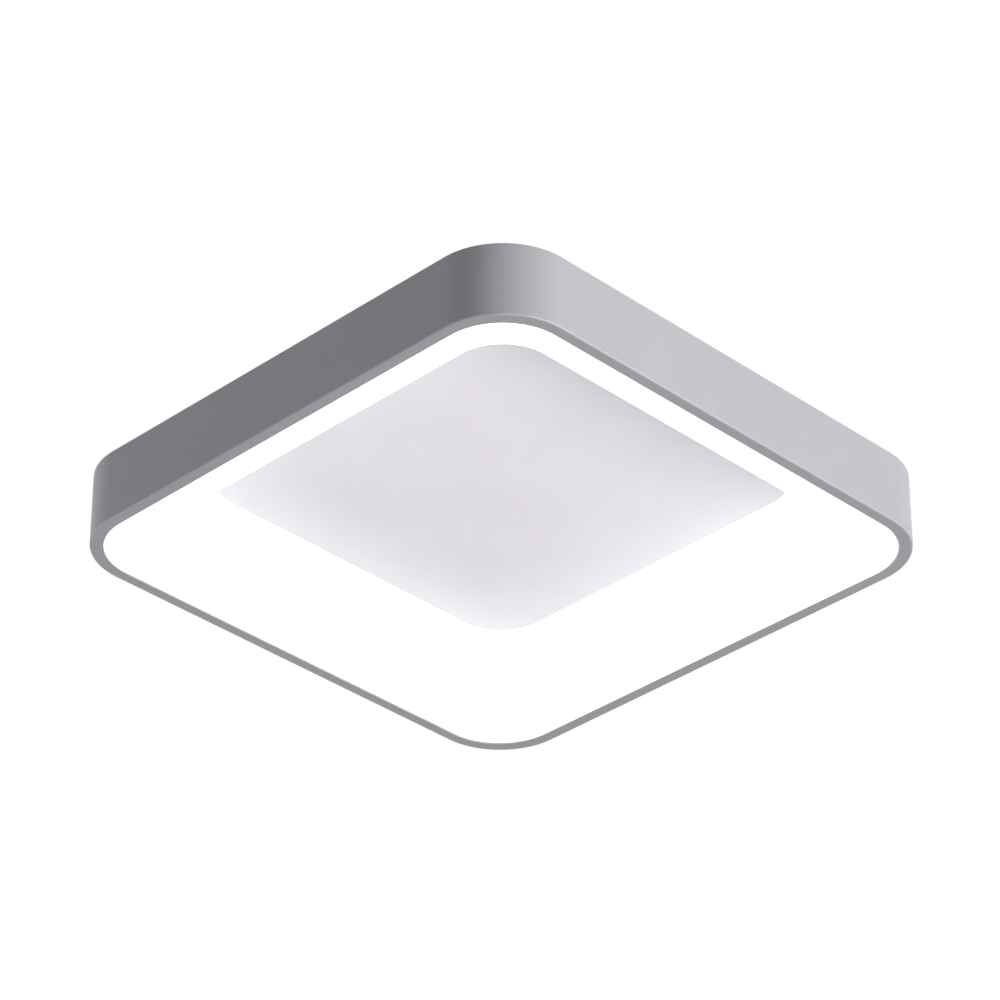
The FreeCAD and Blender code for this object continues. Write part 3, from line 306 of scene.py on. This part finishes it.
class Patterns:
    """A material with its shader, and patterns that are fixed to the object."""

    def __init__(self, name, colour, roughness, metallic=0.0):
        self.material = bpy.data.materials.new(name)
        self.material.use_nodes = True
        self.tree = self.material.node_tree
        self.shader = self.tree.nodes["Principled BSDF"]
        self.colour = colour
        self.set("Base Color", (*colour, 1))
        self.set("Roughness", roughness)
        self.set("Metallic", metallic)
        self.place = self.tree.nodes.new("ShaderNodeTexCoord").outputs["Object"]
        self.relief_top = None

    def set(self, socket, value):
        self.shader.inputs[socket].default_value = value

    def add(self, kind):
        return self.tree.nodes.new(kind)

    def join(self, source, target):
        link(self.tree, source, target)

    def stretched(self, stretch):
        """The place on the object, drawn out along one or two axes."""
        mapping = self.add("ShaderNodeMapping")
        mapping.inputs["Scale"].default_value = stretch
        self.join(self.place, mapping.inputs["Vector"])
        return mapping.outputs["Vector"]

    def noise(self, size_mm, detail=2.0, stretch=(1, 1, 1)):
        """A soft noise whose grains are about this size."""
        grain = self.add("ShaderNodeTexNoise")
        grain.inputs["Scale"].default_value = 1 / (size_mm * MM)
        grain.inputs["Detail"].default_value = detail
        self.join(self.stretched(stretch), grain.inputs["Vector"])
        return grain.outputs["Fac"]

    def cells(self, size_mm, feature="F1", output="Distance", stretch=(1, 1, 1)):
        """Cells of about this size, such as crystals in zinc."""
        cell = self.add("ShaderNodeTexVoronoi")
        cell.feature = feature
        cell.inputs["Scale"].default_value = 1 / (size_mm * MM)
        self.join(self.stretched(stretch), cell.inputs["Vector"])
        return cell.outputs[output]

    def bands(self, size_mm, axis="X", distortion=0.0):
        """Even bands across an axis, such as turns of wire or drawn lines."""
        wave = self.add("ShaderNodeTexWave")
        wave.bands_direction = axis
        wave.inputs["Scale"].default_value = 2 * math.pi / (20 * size_mm * MM)
        wave.inputs["Distortion"].default_value = distortion
        self.join(self.place, wave.inputs["Vector"])
        return wave.outputs["Fac"]


print("patterns", [name for name in vars(Patterns) if name in ("noise", "cells", "bands")])

# %% [markdown]
# Real paint and plastic are never one flat colour. The tone drifts a little, the gloss
# changes where hands and tools have been, and the skin has a grain. Each helper below joins a
# pattern to one of these. The colours come from screen values read in the photograph, which
# a shader needs as linear ones. A value that is the same everywhere is set straight on the
# shader.

# %% Tone, gloss and relief


def bytes_to_linear(*rgb):
    """The linear colour of three screen values from 0 to 255."""
    s = np.array(rgb) / 255
    linear = np.where(s <= 0.04045, s / 12.92, ((s + 0.055) / 1.055) ** 2.4)
    return tuple(float(v) for v in linear)


class Finish(Patterns):
    """A material whose tone, gloss and relief follow its patterns."""

    def between(self, factor, low, high, start=0.3, end=0.7):
        """A factor's middle part mapped to a range of numbers."""
        ranged = self.add("ShaderNodeMapRange")
        for socket, value in zip(("From Min", "From Max", "To Min", "To Max"), (start, end, low, high)):
            ranged.inputs[socket].default_value = value
        self.join(factor, ranged.inputs["Value"])
        return ranged.outputs["Result"]

    def tone(self, factor, darker, lighter, socket="Base Color", start=0.3, end=0.7):
        """The colour drifts between two tones with a factor."""
        ramp = self.add("ShaderNodeValToRGB")
        ramp.color_ramp.elements[0].position = start
        ramp.color_ramp.elements[1].position = end
        ramp.color_ramp.elements[0].color = (*darker, 1)
        ramp.color_ramp.elements[1].color = (*lighter, 1)
        self.join(factor, ramp.inputs["Fac"])
        self.join(ramp.outputs["Color"], self.shader.inputs[socket])
        return ramp

    def drift(self, factor, share):
        """The colour drifts by this share either side of its own value."""
        darker = tuple(c * (1 - share) for c in self.colour)
        lighter = tuple(min(1, c * (1 + share)) for c in self.colour)
        return self.tone(factor, darker, lighter)

    def gloss(self, factor, low, high):
        """The roughness drifts between two values."""
        self.join(self.between(factor, low, high), self.shader.inputs["Roughness"])

    def relief(self, factor, depth_mm, strength=1.0):
        """A grain that rises by this depth. Several reliefs lie on top of each other."""
        bump = self.add("ShaderNodeBump")
        bump.inputs["Strength"].default_value = strength
        bump.inputs["Distance"].default_value = depth_mm * MM
        self.join(factor, bump.inputs["Height"])
        if self.relief_top:
            self.join(self.relief_top, bump.inputs["Normal"])
        self.join(bump.outputs["Normal"], self.shader.inputs["Normal"])
        self.relief_top = bump.outputs["Normal"]


print("paint read from the picture", [round(v, 3) for v in bytes_to_linear(150, 147, 154)])

# %% [markdown]
# The frame is sprayed with a satin grey enamel, a little cool. Sprayed enamel flows out into
# a faint orange peel before it sets, about a millimetre from crest to crest and a few
# thousandths deep. It only just breaks up a reflection, so the relief is very low.

# %% Paints
FRAME_GREY = (0.306, 0.299, 0.320)
POWDER_WHITE = (0.80, 0.80, 0.79)
PLATE_WHITE = (0.812, 0.791, 0.828)


def sprayed_enamel(name, colour, low, high, peel_mm=1.3, depth_mm=0.004):
    """Satin paint: a slow drift of tone, an uneven gloss and a low orange peel."""
    paint = Finish(name, colour, (low + high) / 2)
    paint.drift(paint.noise(70, 3), 0.018)
    paint.gloss(paint.noise(35, 4), low, high)
    paint.relief(paint.noise(peel_mm, 1), depth_mm)
    return paint


def powder_coat(name, colour, roughness):
    """Baked powder: a pebbled skin with fine dust specks in the tone."""
    paint = Finish(name, colour, roughness)
    paint.drift(paint.noise(1.1, 5), 0.03)
    paint.gloss(paint.noise(14, 3), roughness - 0.06, roughness + 0.06)
    paint.relief(paint.noise(1.6, 2), 0.03)
    paint.relief(paint.noise(0.5, 1), 0.006)
    return paint


frame_paint = sprayed_enamel("frame_paint", FRAME_GREY, 0.42, 0.50)
plate_paint = sprayed_enamel("plate_paint", PLATE_WHITE, 0.36, 0.42, 1.8, 0.003)
chassis_paint = powder_coat("chassis_paint", POWDER_WHITE, 0.5)
print("paints", frame_paint.material.name, plate_paint.material.name, chassis_paint.material.name)

# %% [markdown]
# The diffuser is opal plastic with the light on behind it. It could be made with true
# scattering and real lamps inside, but that is slow and noisy and would not export. Instead
# the plastic gives off its own even light, a touch stronger over the rows of LEDs, where
# the sheet is nearest to them.

# %% Opal plastic
GLOW = 0.45
LED_ROW = 0.192


def opal():
    """White plastic whose glow rises softly towards the square of LEDs.
    The distance to it is that of the larger of |x| and |y| from the rows' place."""
    plastic = Finish("opal_plastic", (0.86, 0.86, 0.87), 0.34)
    plastic.drift(plastic.noise(40, 3), 0.015)
    plastic.gloss(plastic.noise(18, 3), 0.30, 0.38)
    plastic.relief(plastic.noise(2.2, 1), 0.003)
    apart = plastic.add("ShaderNodeSeparateXYZ")
    plastic.join(plastic.place, apart.inputs[0])
    across, along = (maths(plastic.tree, "ABSOLUTE", apart.outputs[axis]) for axis in "XY")
    outward = maths(plastic.tree, "MAXIMUM", across, along)
    past_row = maths(plastic.tree, "SUBTRACT", outward, LED_ROW)
    from_row = maths(plastic.tree, "ABSOLUTE", past_row)
    strength = plastic.between(from_row, GLOW * 1.08, GLOW * 0.92, 0.0, 0.06)
    plastic.join(strength, plastic.shader.inputs["Emission Strength"])
    plastic.set("Emission Color", (1.0, 0.995, 0.99, 1))
    return plastic


opal_plastic = opal()
print("diffuser glows at", GLOW)

# %% [markdown]
# Behind the diffuser the light is full of small plastic and metal parts. Moulded plastic has
# a faint spark-eroded grain from its mould. Rolled and drawn metal has long fine lines,
# zinc has crystals and sintered ferrite has dull grains. Four short recipes cover them.

# %% Recipes for plastics and metals


def moulded(name, colour, roughness, grain_mm=0.35, depth_mm=0.012):
    """Moulded plastic: a fine even grain and slow marks of how the melt flowed."""
    plastic = Finish(name, colour, roughness)
    plastic.drift(plastic.noise(9, 4), 0.035)
    plastic.gloss(plastic.noise(5, 3), roughness - 0.07, roughness + 0.07)
    plastic.relief(plastic.noise(grain_mm, 1), depth_mm)
    return plastic


def drawn_metal(name, colour, roughness, stretch=(1, 14, 14), line_mm=0.25, depth_mm=0.004):
    """Metal with long lines: a noise drawn out along one axis changes gloss and relief."""
    metal = Finish(name, colour, roughness, 1.0)
    lines = metal.noise(line_mm * 14, 4, stretch)
    metal.drift(metal.noise(6, 3), 0.07)
    metal.gloss(lines, roughness - 0.08, roughness + 0.10)
    metal.relief(lines, depth_mm)
    return metal


def zinc_metal(name, colour, roughness, crystal_mm=2.4):
    """Zinc-coated steel: crystals that differ in tone and gloss, and rolled lines."""
    metal = Finish(name, colour, roughness, 1.0)
    crystals = metal.add("ShaderNodeSeparateColor")
    metal.join(metal.cells(crystal_mm, output="Color"), crystals.inputs[0])
    metal.tone(crystals.outputs[0], tuple(c * 0.88 for c in colour), colour, start=0.0, end=1.0)
    metal.join(metal.between(crystals.outputs[1], roughness - 0.08, roughness + 0.1, 0.0, 1.0),
               metal.shader.inputs["Roughness"])
    metal.relief(metal.noise(3.5, 4, (1, 10, 1)), 0.004)
    return metal


def sintered(name, colour, roughness):
    """Pressed and fired powder: dull grains, a few of them bright."""
    block = Finish(name, colour, roughness)
    block.drift(block.noise(0.6, 5), 0.25)
    block.gloss(block.noise(1.5, 3), roughness - 0.1, roughness + 0.1)
    block.relief(block.noise(0.4, 3), 0.02)
    return block


# %% [markdown]
# The recipes now make one finish for each kind of small part. The lines of a drawn metal run
# along the part: up a pressed cup or a screw, and along a spring or a strip. Colours are
# those of the bare stuff, such as tin, copper, nylon and ferrite.

# %% Small finishes
bracket_steel = zinc_metal("bracket_steel", (0.66, 0.67, 0.68), 0.36)
screw_steel = drawn_metal("screw_steel", (0.70, 0.70, 0.69), 0.26, (6, 6, 1))
tinned_metal = drawn_metal("tinned_metal", (0.80, 0.80, 0.78), 0.30, (8, 1, 8))
cup_steel = drawn_metal("cup_steel", (0.74, 0.74, 0.74), 0.18, (1, 1, 8))
spring_steel = drawn_metal("spring_steel", (0.62, 0.63, 0.65), 0.28, (10, 1, 10))
strip_copper = drawn_metal("strip_copper", (0.82, 0.50, 0.33), 0.28, (8, 1, 8))
ferrite = sintered("ferrite", (0.06, 0.06, 0.065), 0.62)
magnet = sintered("magnet", (0.10, 0.10, 0.11), 0.48)
plug_nylon = moulded("plug_nylon", (0.80, 0.78, 0.71), 0.48)
driver_plastic = moulded("driver_plastic", (0.78, 0.78, 0.77), 0.52, 0.6, 0.02)
port_plastic = moulded("port_plastic", (0.13, 0.25, 0.42), 0.46)
terminal_plastic = moulded("terminal_plastic", (0.66, 0.68, 0.70), 0.40)
lever_plastic = moulded("lever_plastic", (0.18, 0.19, 0.20), 0.40)
black_rubber = moulded("black_rubber", (0.028, 0.028, 0.03), 0.62, 0.8, 0.03)
tape_foam = moulded("tape", (0.84, 0.84, 0.82), 0.7, 0.25, 0.05)
can_sleeve = moulded("can_sleeve", (0.04, 0.04, 0.06), 0.32)
chip_package = moulded("chip_package", (0.84, 0.83, 0.80), 0.35, 0.3, 0.004)
brown_insulation = moulded("brown_insulation", (0.20, 0.085, 0.04), 0.38, 0.5, 0.006)
blue_insulation = moulded("blue_insulation", (0.04, 0.15, 0.47), 0.38, 0.5, 0.006)
white_insulation = moulded("white_insulation", (0.80, 0.80, 0.78), 0.38, 0.5, 0.006)
print("small finishes made")

# %% [markdown]
# Some finishes need more than a recipe. The lenses are clear, so light must pass through them. The boards
# carry a white solder mask over copper, which shows as a faint weave. The earth wire has a yellow stripe on
# green, and the winding is copper with a fine grain.

# %% Special finishes


def clear_plastic():
    """Clear moulded plastic with slight haze. Light for the board below passes straight on."""
    plastic = Finish("clear_plastic", (0.96, 0.97, 0.98), 0.08)
    plastic.set("Transmission Weight", 1.0)
    plastic.set("IOR", 1.49)
    plastic.gloss(plastic.noise(2.5, 3), 0.04, 0.14)
    plastic.relief(plastic.noise(3, 1), 0.004)
    path = plastic.add("ShaderNodeLightPath")
    straight = plastic.add("ShaderNodeBsdfTransparent")
    either = plastic.add("ShaderNodeMixShader")
    plastic.join(path.outputs["Is Shadow Ray"], either.inputs["Fac"])
    plastic.join(plastic.shader.outputs[0], either.inputs[1])
    plastic.join(straight.outputs[0], either.inputs[2])
    plastic.join(either.outputs[0], plastic.tree.nodes["Material Output"].inputs["Surface"])
    return plastic


def solder_mask(name, colour, weave_mm=0.9):
    """Lacquer on woven glass and copper: a crossed weave under an even gloss."""
    board = Finish(name, colour, 0.36)
    board.drift(board.noise(4, 4), 0.04)
    board.gloss(board.noise(9, 3), 0.30, 0.44)
    board.relief(board.bands(weave_mm, "X"), 0.003)
    board.relief(board.bands(weave_mm, "Y"), 0.003)
    board.relief(board.noise(0.7, 2), 0.004)
    return board


def striped_insulation():
    """Green and yellow insulation: stripes that run along the wire."""
    cover = Finish("green_insulation", (0.12, 0.42, 0.08), 0.38)
    cover.tone(cover.bands(2.2, "X", 0.4), (0.10, 0.36, 0.07), (0.80, 0.66, 0.05), start=0.46, end=0.54)
    cover.gloss(cover.noise(4, 3), 0.32, 0.44)
    cover.relief(cover.noise(0.5, 1), 0.006)
    return cover


def wound_wire():
    """Enamelled copper wire: a drifting copper tone, an uneven gloss and a fine grain."""
    wire = Finish("copper_winding", (0.62, 0.27, 0.10), 0.28, 1.0)
    wire.drift(wire.noise(1.5, 3), 0.12)
    wire.gloss(wire.noise(2, 2), 0.2, 0.34)
    wire.relief(wire.noise(0.3, 2), 0.01)
    return wire


lens_plastic = clear_plastic()
board_coating = solder_mask("board_coating", (0.82, 0.82, 0.81))
laminate = solder_mask("laminate", (0.03, 0.19, 0.08), 0.7)
green_insulation = striped_insulation()
copper_winding = wound_wire()
print("special finishes made")

# %% [markdown]
# Now every CAD node gets its finish. A table from finish to nodes is easier to read and to
# change than one line for each of the fifty-eight nodes.

# %% Finishes on the CAD nodes


def numbered(name, count):
    """The names of a row of nodes that differ in their number."""
    return [f"{name}_{number}" for number in range(1, count + 1)]


worn_by = {
    chassis_paint: ["chassis_plate", "edge_strips"],
    bracket_steel: ["corner_brackets", "frame_joint_plate", "clip_brackets"],
    opal_plastic: ["diffuser"],
    lens_plastic: numbered("led_lenses", 4),
    board_coating: numbered("led_board", 4),
    chip_package: ["led_chips"],
    plug_nylon: ["board_connectors"],
    driver_plastic: ["driver_base", "driver_cover"],
    laminate: ["driver_circuit_board"],
    port_plastic: ["driver_terminals"],
    ferrite: ["driver_transformer"],
    copper_winding: ["driver_winding", "driver_choke"],
    can_sleeve: ["driver_capacitors"],
    terminal_plastic: ["terminal_body"],
    lever_plastic: numbered("terminal_lever", 3),
    strip_copper: ["terminal_clamps"],
    screw_steel: ["earth_screw", "board_screws", "driver_screws", "terminal_screws", "magnet_screws",
                  "clip_rivets"],
    tinned_metal: ["earth_terminal", "earth_washer"],
    cup_steel: ["magnet_cups"],
    magnet: ["magnet_rings"],
    spring_steel: numbered("diffuser_clip", 8),
    black_rubber: ["cable_grommet"],
    tape_foam: ["bonding_tape"],
    brown_insulation: ["live_wire"],
    blue_insulation: ["neutral_wire"],
    green_insulation: ["earth_wire"],
    white_insulation: ["led_feed_wires"] + numbered("jumper_wires", 3),
    frame_paint: ["frame_ring"],
    plate_paint: ["centre_plate"],
}
for finish, names in worn_by.items():
    for name in names:
        nodes[name].data.materials.clear()
        nodes[name].data.materials.append(finish.material)
bare = set(nodes) - {name for names in worn_by.values() for name in names}
print("nodes with no finish", sorted(bare))

# %% [markdown]
# The frame is one strip of sheet steel, folded in at the bottom to a narrow lip that the
# diffuser rests on, bent round four corners and welded where its ends meet. The fold is
# tight, so it catches a thin line of light. Carrying the strip's section round the square
# gives that fold and the soft edges of the cut sheet.

# %% Frame
FRAME_HALF, FRAME_TOP, FRAME_FOOT = 250.0, -0.5, -65.0
SHEET = 1.2
LIP = 10.0
FOLD = 1.5
CUT_EDGE = 0.3


def frame_radius(across):
    """The corner radius in plan: 62 outside, a sheet less inside, and 54.5 at the lip's edge."""
    return np.interp(FRAME_HALF - across, [0, SHEET, LIP], [62, 62 - SHEET, 54.5])


frame_section = rounded_section([
    (FRAME_HALF, FRAME_TOP, CUT_EDGE),
    (FRAME_HALF, FRAME_FOOT, FOLD),
    (FRAME_HALF - LIP, FRAME_FOOT, CUT_EDGE),
    (FRAME_HALF - LIP, FRAME_FOOT + SHEET, CUT_EDGE),
    (FRAME_HALF - SHEET, FRAME_FOOT + SHEET, FOLD - SHEET),
    (FRAME_HALF - SHEET, FRAME_TOP, CUT_EDGE),
], steps=8)
frame_shell = piece("frame_shell", carry_round(frame_section, frame_radius, square_way(28)),
                    "shade", frame_paint.material, rows_close=True, sharp=math.radians(60))
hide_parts("frame_ring")

# %% [markdown]
# The centre plate is a flat sheet of white painted steel, taped flat under the chassis. The
# slanted walls of the diffuser rise to it, so it closes the recess. Its edge is slightly
# rounded by the paint. It is the same square, drawn from its middle outwards and back over
# the edge.

# %% Centre plate
PLATE_HALF, PLATE_RADIUS = 179.5, 46.0
PLATE_UNDER, PLATE_TOP = -2.2, -1.2
PLATE_EDGE = 0.35


def plate_radius(across):
    """The corner radius shrinks with the square, so that the middle is a single point."""
    return PLATE_RADIUS * np.clip(across / PLATE_HALF, 0, 1)


plate_edge = rounded_section([
    (PLATE_HALF, PLATE_UNDER, PLATE_EDGE), (PLATE_HALF, PLATE_TOP, PLATE_EDGE), (0, PLATE_TOP, 0.01),
    (0, PLATE_UNDER, 0.01)], steps=4)
rim_rows = plate_edge[:12]
inward = np.array([0.0, 60.0, 120.0, 170.0])
plate_section = np.concatenate([
    np.stack([inward, np.full(4, PLATE_UNDER)], -1),
    rim_rows,
    np.stack([inward[::-1], np.full(4, PLATE_TOP)], -1),
])
centre_panel = piece("centre_panel", carry_round(plate_section, plate_radius, square_way(16)),
                     "root", plate_paint.material)
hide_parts("centre_plate")

# %% [markdown]
# Under the diffuser sit four boards with twelve chips each. Their small parts repeat, so they
# are drawn once, as a grid of points, and set down many times. Two shapes do: a tablet, which
# is a rounded rectangle with a soft shoulder, and a turned form, which is a profile carried
# round an axis. Placing many copies is one sum of arrays: every grid plus every place.

# %% Small repeated shapes


def tablet(half_x, half_y, corner, rows, steps=4):
    """A rounded rectangle in layers. Each row (inset, level) is the outline drawn in by inset.
    Rows with no inset given (None) are the middle point, which closes the top or the bottom."""
    angle = (np.arange(4)[:, None] + np.linspace(0, 1, steps + 1)) * QUARTER
    outward = np.stack([np.cos(angle), np.sin(angle)], -1).reshape(-1, 2)
    signs = np.repeat(np.array([(1, 1), (-1, 1), (-1, -1), (1, -1)]), steps + 1, axis=0)
    layers = []
    for inset, level in rows:
        if inset is None:
            plan = np.zeros_like(outward)
        else:
            radius = max(corner - inset, 0.02)
            centre = signs * (np.array([half_x, half_y]) - inset - radius)
            plan = centre + outward * radius
        layers.append(np.column_stack([plan, np.full(len(plan), level)]))
    return np.array(layers)


def turned(profile, steps=16):
    """A profile of (radius, level) carried round the vertical axis."""
    profile = np.asarray(profile, float)
    angle = np.arange(steps) * 2 * math.pi / steps
    around = np.stack([np.cos(angle), np.sin(angle)], -1)
    plan = profile[:, 0, None, None] * around[None]
    level = np.broadcast_to(profile[:, 1, None, None], plan.shape[:2] + (1,))
    return np.concatenate([plan, level], -1)


def placed(shape, places):
    """A copy of the shape at every place, in metres."""
    places = np.asarray(places, float)
    if places.shape[1] == 2:
        places = np.column_stack([places, np.zeros(len(places))])
    return (shape[None] + places[:, None, None, :]) * MM


def on_four_sides(grids):
    """The grids, and the same turned by one, two and three quarters about the middle."""
    turns = []
    for quarter in range(4):
        c, s = round(math.cos(quarter * QUARTER)), round(math.sin(quarter * QUARTER))
        turns.append(grids @ np.array([[c, s, 0], [-s, c, 0], [0, 0, 1]]))
    return np.concatenate(turns)


print("a tablet has", tablet(1, 1, 0.3, [(None, 0), (0, 0), (0.1, -1), (None, -1)]).shape[:2], "points")

# %% [markdown]
# Copper runs between the chips under the white lacquer of each board. It stands a few
# hundredths proud, so its outline shows as a soft step. Painting it as a pattern would lose
# that step at a low angle, so the fields are real: two between each pair of chips, which
# leave room for the screws between them.

# %% Copper fields on the boards
BOARD_UNDER = -2.6
CHIP_PITCH, CHIP_COUNT = 27.0, 12
BOARD_PLACE = 192.0
chip_places = (np.arange(CHIP_COUNT) - (CHIP_COUNT - 1) / 2) * CHIP_PITCH
gap_places = (np.arange(CHIP_COUNT + 1) - CHIP_COUNT / 2) * CHIP_PITCH
FIELD_ACROSS, FIELD_END = 6.2, 157.0
copper_rows = [(None, BOARD_UNDER + 0.02), (0, BOARD_UNDER + 0.02), (0, BOARD_UNDER - 0.04),
               (0.05, BOARD_UNDER - 0.07), (None, BOARD_UNDER - 0.07)]
field = tablet(2.6, 12.4, 0.8, copper_rows)
spots = [(BOARD_PLACE + side * FIELD_ACROSS, place) for place in gap_places[1:-1] for side in (-1, 1)]
end_field = tablet(2.6, 7.0, 0.8, copper_rows)
end_spots = [(BOARD_PLACE + side * FIELD_ACROSS, end * FIELD_END) for end in (-1, 1) for side in (-1, 1)]
copper_fields = piece("copper_fields", on_four_sides(placed(field, spots)),
                      "root", board_coating.material)
copper_ends = piece("copper_ends", on_four_sides(placed(end_field, end_spots)),
                    "root", board_coating.material)

# %% [markdown]
# Each chip is a white package with a window of yellow phosphor, which is what really glows.
# The window is a shallow pillow that fills the package's face. Bright solder joints hold the
# package at both ends, small domes that are wider than they are high.

# %% Phosphor windows and solder joints
CHIP_UNDER = -3.4


def phosphor():
    """Yellow phosphor in clear resin, lit from within, a touch uneven."""
    resin = Finish("phosphor", (0.92, 0.78, 0.30), 0.30)
    resin.drift(resin.noise(0.5, 3), 0.10)
    resin.gloss(resin.noise(0.8, 2), 0.22, 0.38)
    resin.relief(resin.noise(0.6, 2), 0.01)
    resin.set("Emission Color", (1.0, 0.93, 0.74, 1))
    resin.join(resin.between(resin.noise(1.2, 1), 2.2, 2.8), resin.shader.inputs["Emission Strength"])
    return resin


chip_spots = [(BOARD_PLACE, place) for place in chip_places]
window = tablet(1.1, 1.45, 0.45, [
    (None, CHIP_UNDER + 0.02), (0, CHIP_UNDER + 0.02), (0.02, CHIP_UNDER - 0.03),
    (0.35, CHIP_UNDER - 0.06), (None, CHIP_UNDER - 0.07)])
phosphor_windows = piece("phosphor_windows", on_four_sides(placed(window, chip_spots)),
                         "root", phosphor().material)

solder = drawn_metal("solder", (0.80, 0.80, 0.79), 0.22, (3, 3, 3), 0.2, 0.01)
dome = [(0, 0.02), (0.95, 0.02), (0.9, -0.1), (0.62, -0.26), (0.25, -0.34), (0, -0.36)]
joint = turned([(radius, BOARD_UNDER + rise) for radius, rise in dome], 12)
joint = joint * np.array([1.0, 0.55, 1.0])
joint_spots = [(BOARD_PLACE, place + end * 1.75) for place in chip_places for end in (-1, 1)]
solder_joints = piece("solder_joints", on_four_sides(placed(joint, joint_spots)),
                      "root", solder.material)

# %% [markdown]
# The corner brackets, the splice plate and the clip brackets are spot welded to the frame. A
# spot weld leaves a shallow round dish with a raised ring where the tip pressed the soft
# metal. It is turned about an axis that points out of the wall, and the wall behind comes
# from turning the whole set by quarters.

# %% Spot welds
WALL_INSIDE = 248.8


def weld_mark(face, radius=2.4):
    """A dish and its raised ring, turned about an axis that comes out of a wall facing -X."""
    profile = [(0, 0.03), (0.55, 0.04), (0.80, 0.10), (0.95, 0.22), (1.05, 0.24), (1.2, 0.12),
               (1.32, -0.05), (0, -0.05)]
    round_form = turned([(r * radius, h) for r, h in profile], 20)
    return np.stack([face - round_form[..., 2], round_form[..., 0], round_form[..., 1]], -1)


tab_face = WALL_INSIDE - 1.5
tab_spots = [(0, end * along, level)
             for end in (-1, 1) for along in (171.0, 183.0) for level in (-12.0, -19.0)]
tab_welds = placed(weld_mark(tab_face), tab_spots)
clip_face = WALL_INSIDE - 1.0
clip_spots = [(0, end * 120.0 + along, -54.5) for end in (-1, 1) for along in (-6.0, 6.0)]
clip_welds = placed(weld_mark(clip_face, 1.9), clip_spots)
spot_welds = piece("spot_welds", on_four_sides(np.concatenate([tab_welds, clip_welds])),
                   "shade", bracket_steel.material)
splice_spots = [(0, along, level) for along in (-12.0, -4.5, 4.5, 12.0) for level in (-20.0, -32.75, -45.5)]
splice_grid = placed(weld_mark(clip_face), splice_spots)
splice_welds = piece("splice_welds", splice_grid @ np.array([[0, 1, 0], [-1, 0, 0], [0, 0, 1.0]]),
                     "shade", bracket_steel.material)

# %% [markdown]
# A plain pale floor lies far below, as in a high studio. The picture never shows it, because
# the camera looks up, but views from above do. The lamps light it only dimly, so the same
# switch as in the world lifts it where it is seen, and the light on the object stays as it
# is. An edge of the floor would draw a hard line behind the light. So the floor is very wide
# and the lift grows with the distance from the middle, until it meets the white of the world.
# A floor as wide as that would hide the low window from the light, so it casts no shadow.

# %% Floor
FLOOR_LEVEL = -4.2
FLOOR_HALF = 60.0
FLOOR_SHINE, HORIZON_SHINE = 0.65, 0.95
FADE_START, FADE_END = 8.0, 30.0
steps = np.linspace(-FLOOR_HALF, FLOOR_HALF, 9)
floor_x, floor_y = np.meshgrid(steps, steps, indexing="ij")
floor_points = np.stack([floor_x, floor_y, np.full_like(floor_x, FLOOR_LEVEL)], -1)
floor_mesh = bpy.data.meshes.new("studio_floor")
floor_mesh.from_pydata(floor_points.reshape(-1, 3), [], grid_faces(9, 9, False, False))
floor = bpy.data.objects.new("studio_floor", floor_mesh)
bpy.context.scene.collection.objects.link(floor)
floor.visible_shadow = False
floor_paint = Finish("floor_paint", (0.82, 0.82, 0.82), 0.7)
floor_paint.drift(floor_paint.noise(900, 2), 0.01)
floor_paint.set("Emission Color", (1, 1, 1, 1))
away = floor_paint.add("ShaderNodeVectorMath")
away.operation = "LENGTH"
floor_paint.join(floor_paint.place, away.inputs[0])
shine = floor_paint.between(away.outputs["Value"], FLOOR_SHINE, HORIZON_SHINE, FADE_START, FADE_END)
seen = maths(floor_paint.tree, "MULTIPLY", shine, seen_rays(floor_paint.tree))
floor_paint.join(seen, floor_paint.shader.inputs["Emission Strength"])
floor_mesh.materials.append(floor_paint.material)
print("floor", 2 * FLOOR_HALF, "m wide, shown at", FLOOR_SHINE, "to", HORIZON_SHINE)

# %% [markdown]
# Last, the dressed light has to stay inside the CAD's box, because the looks never change the size.
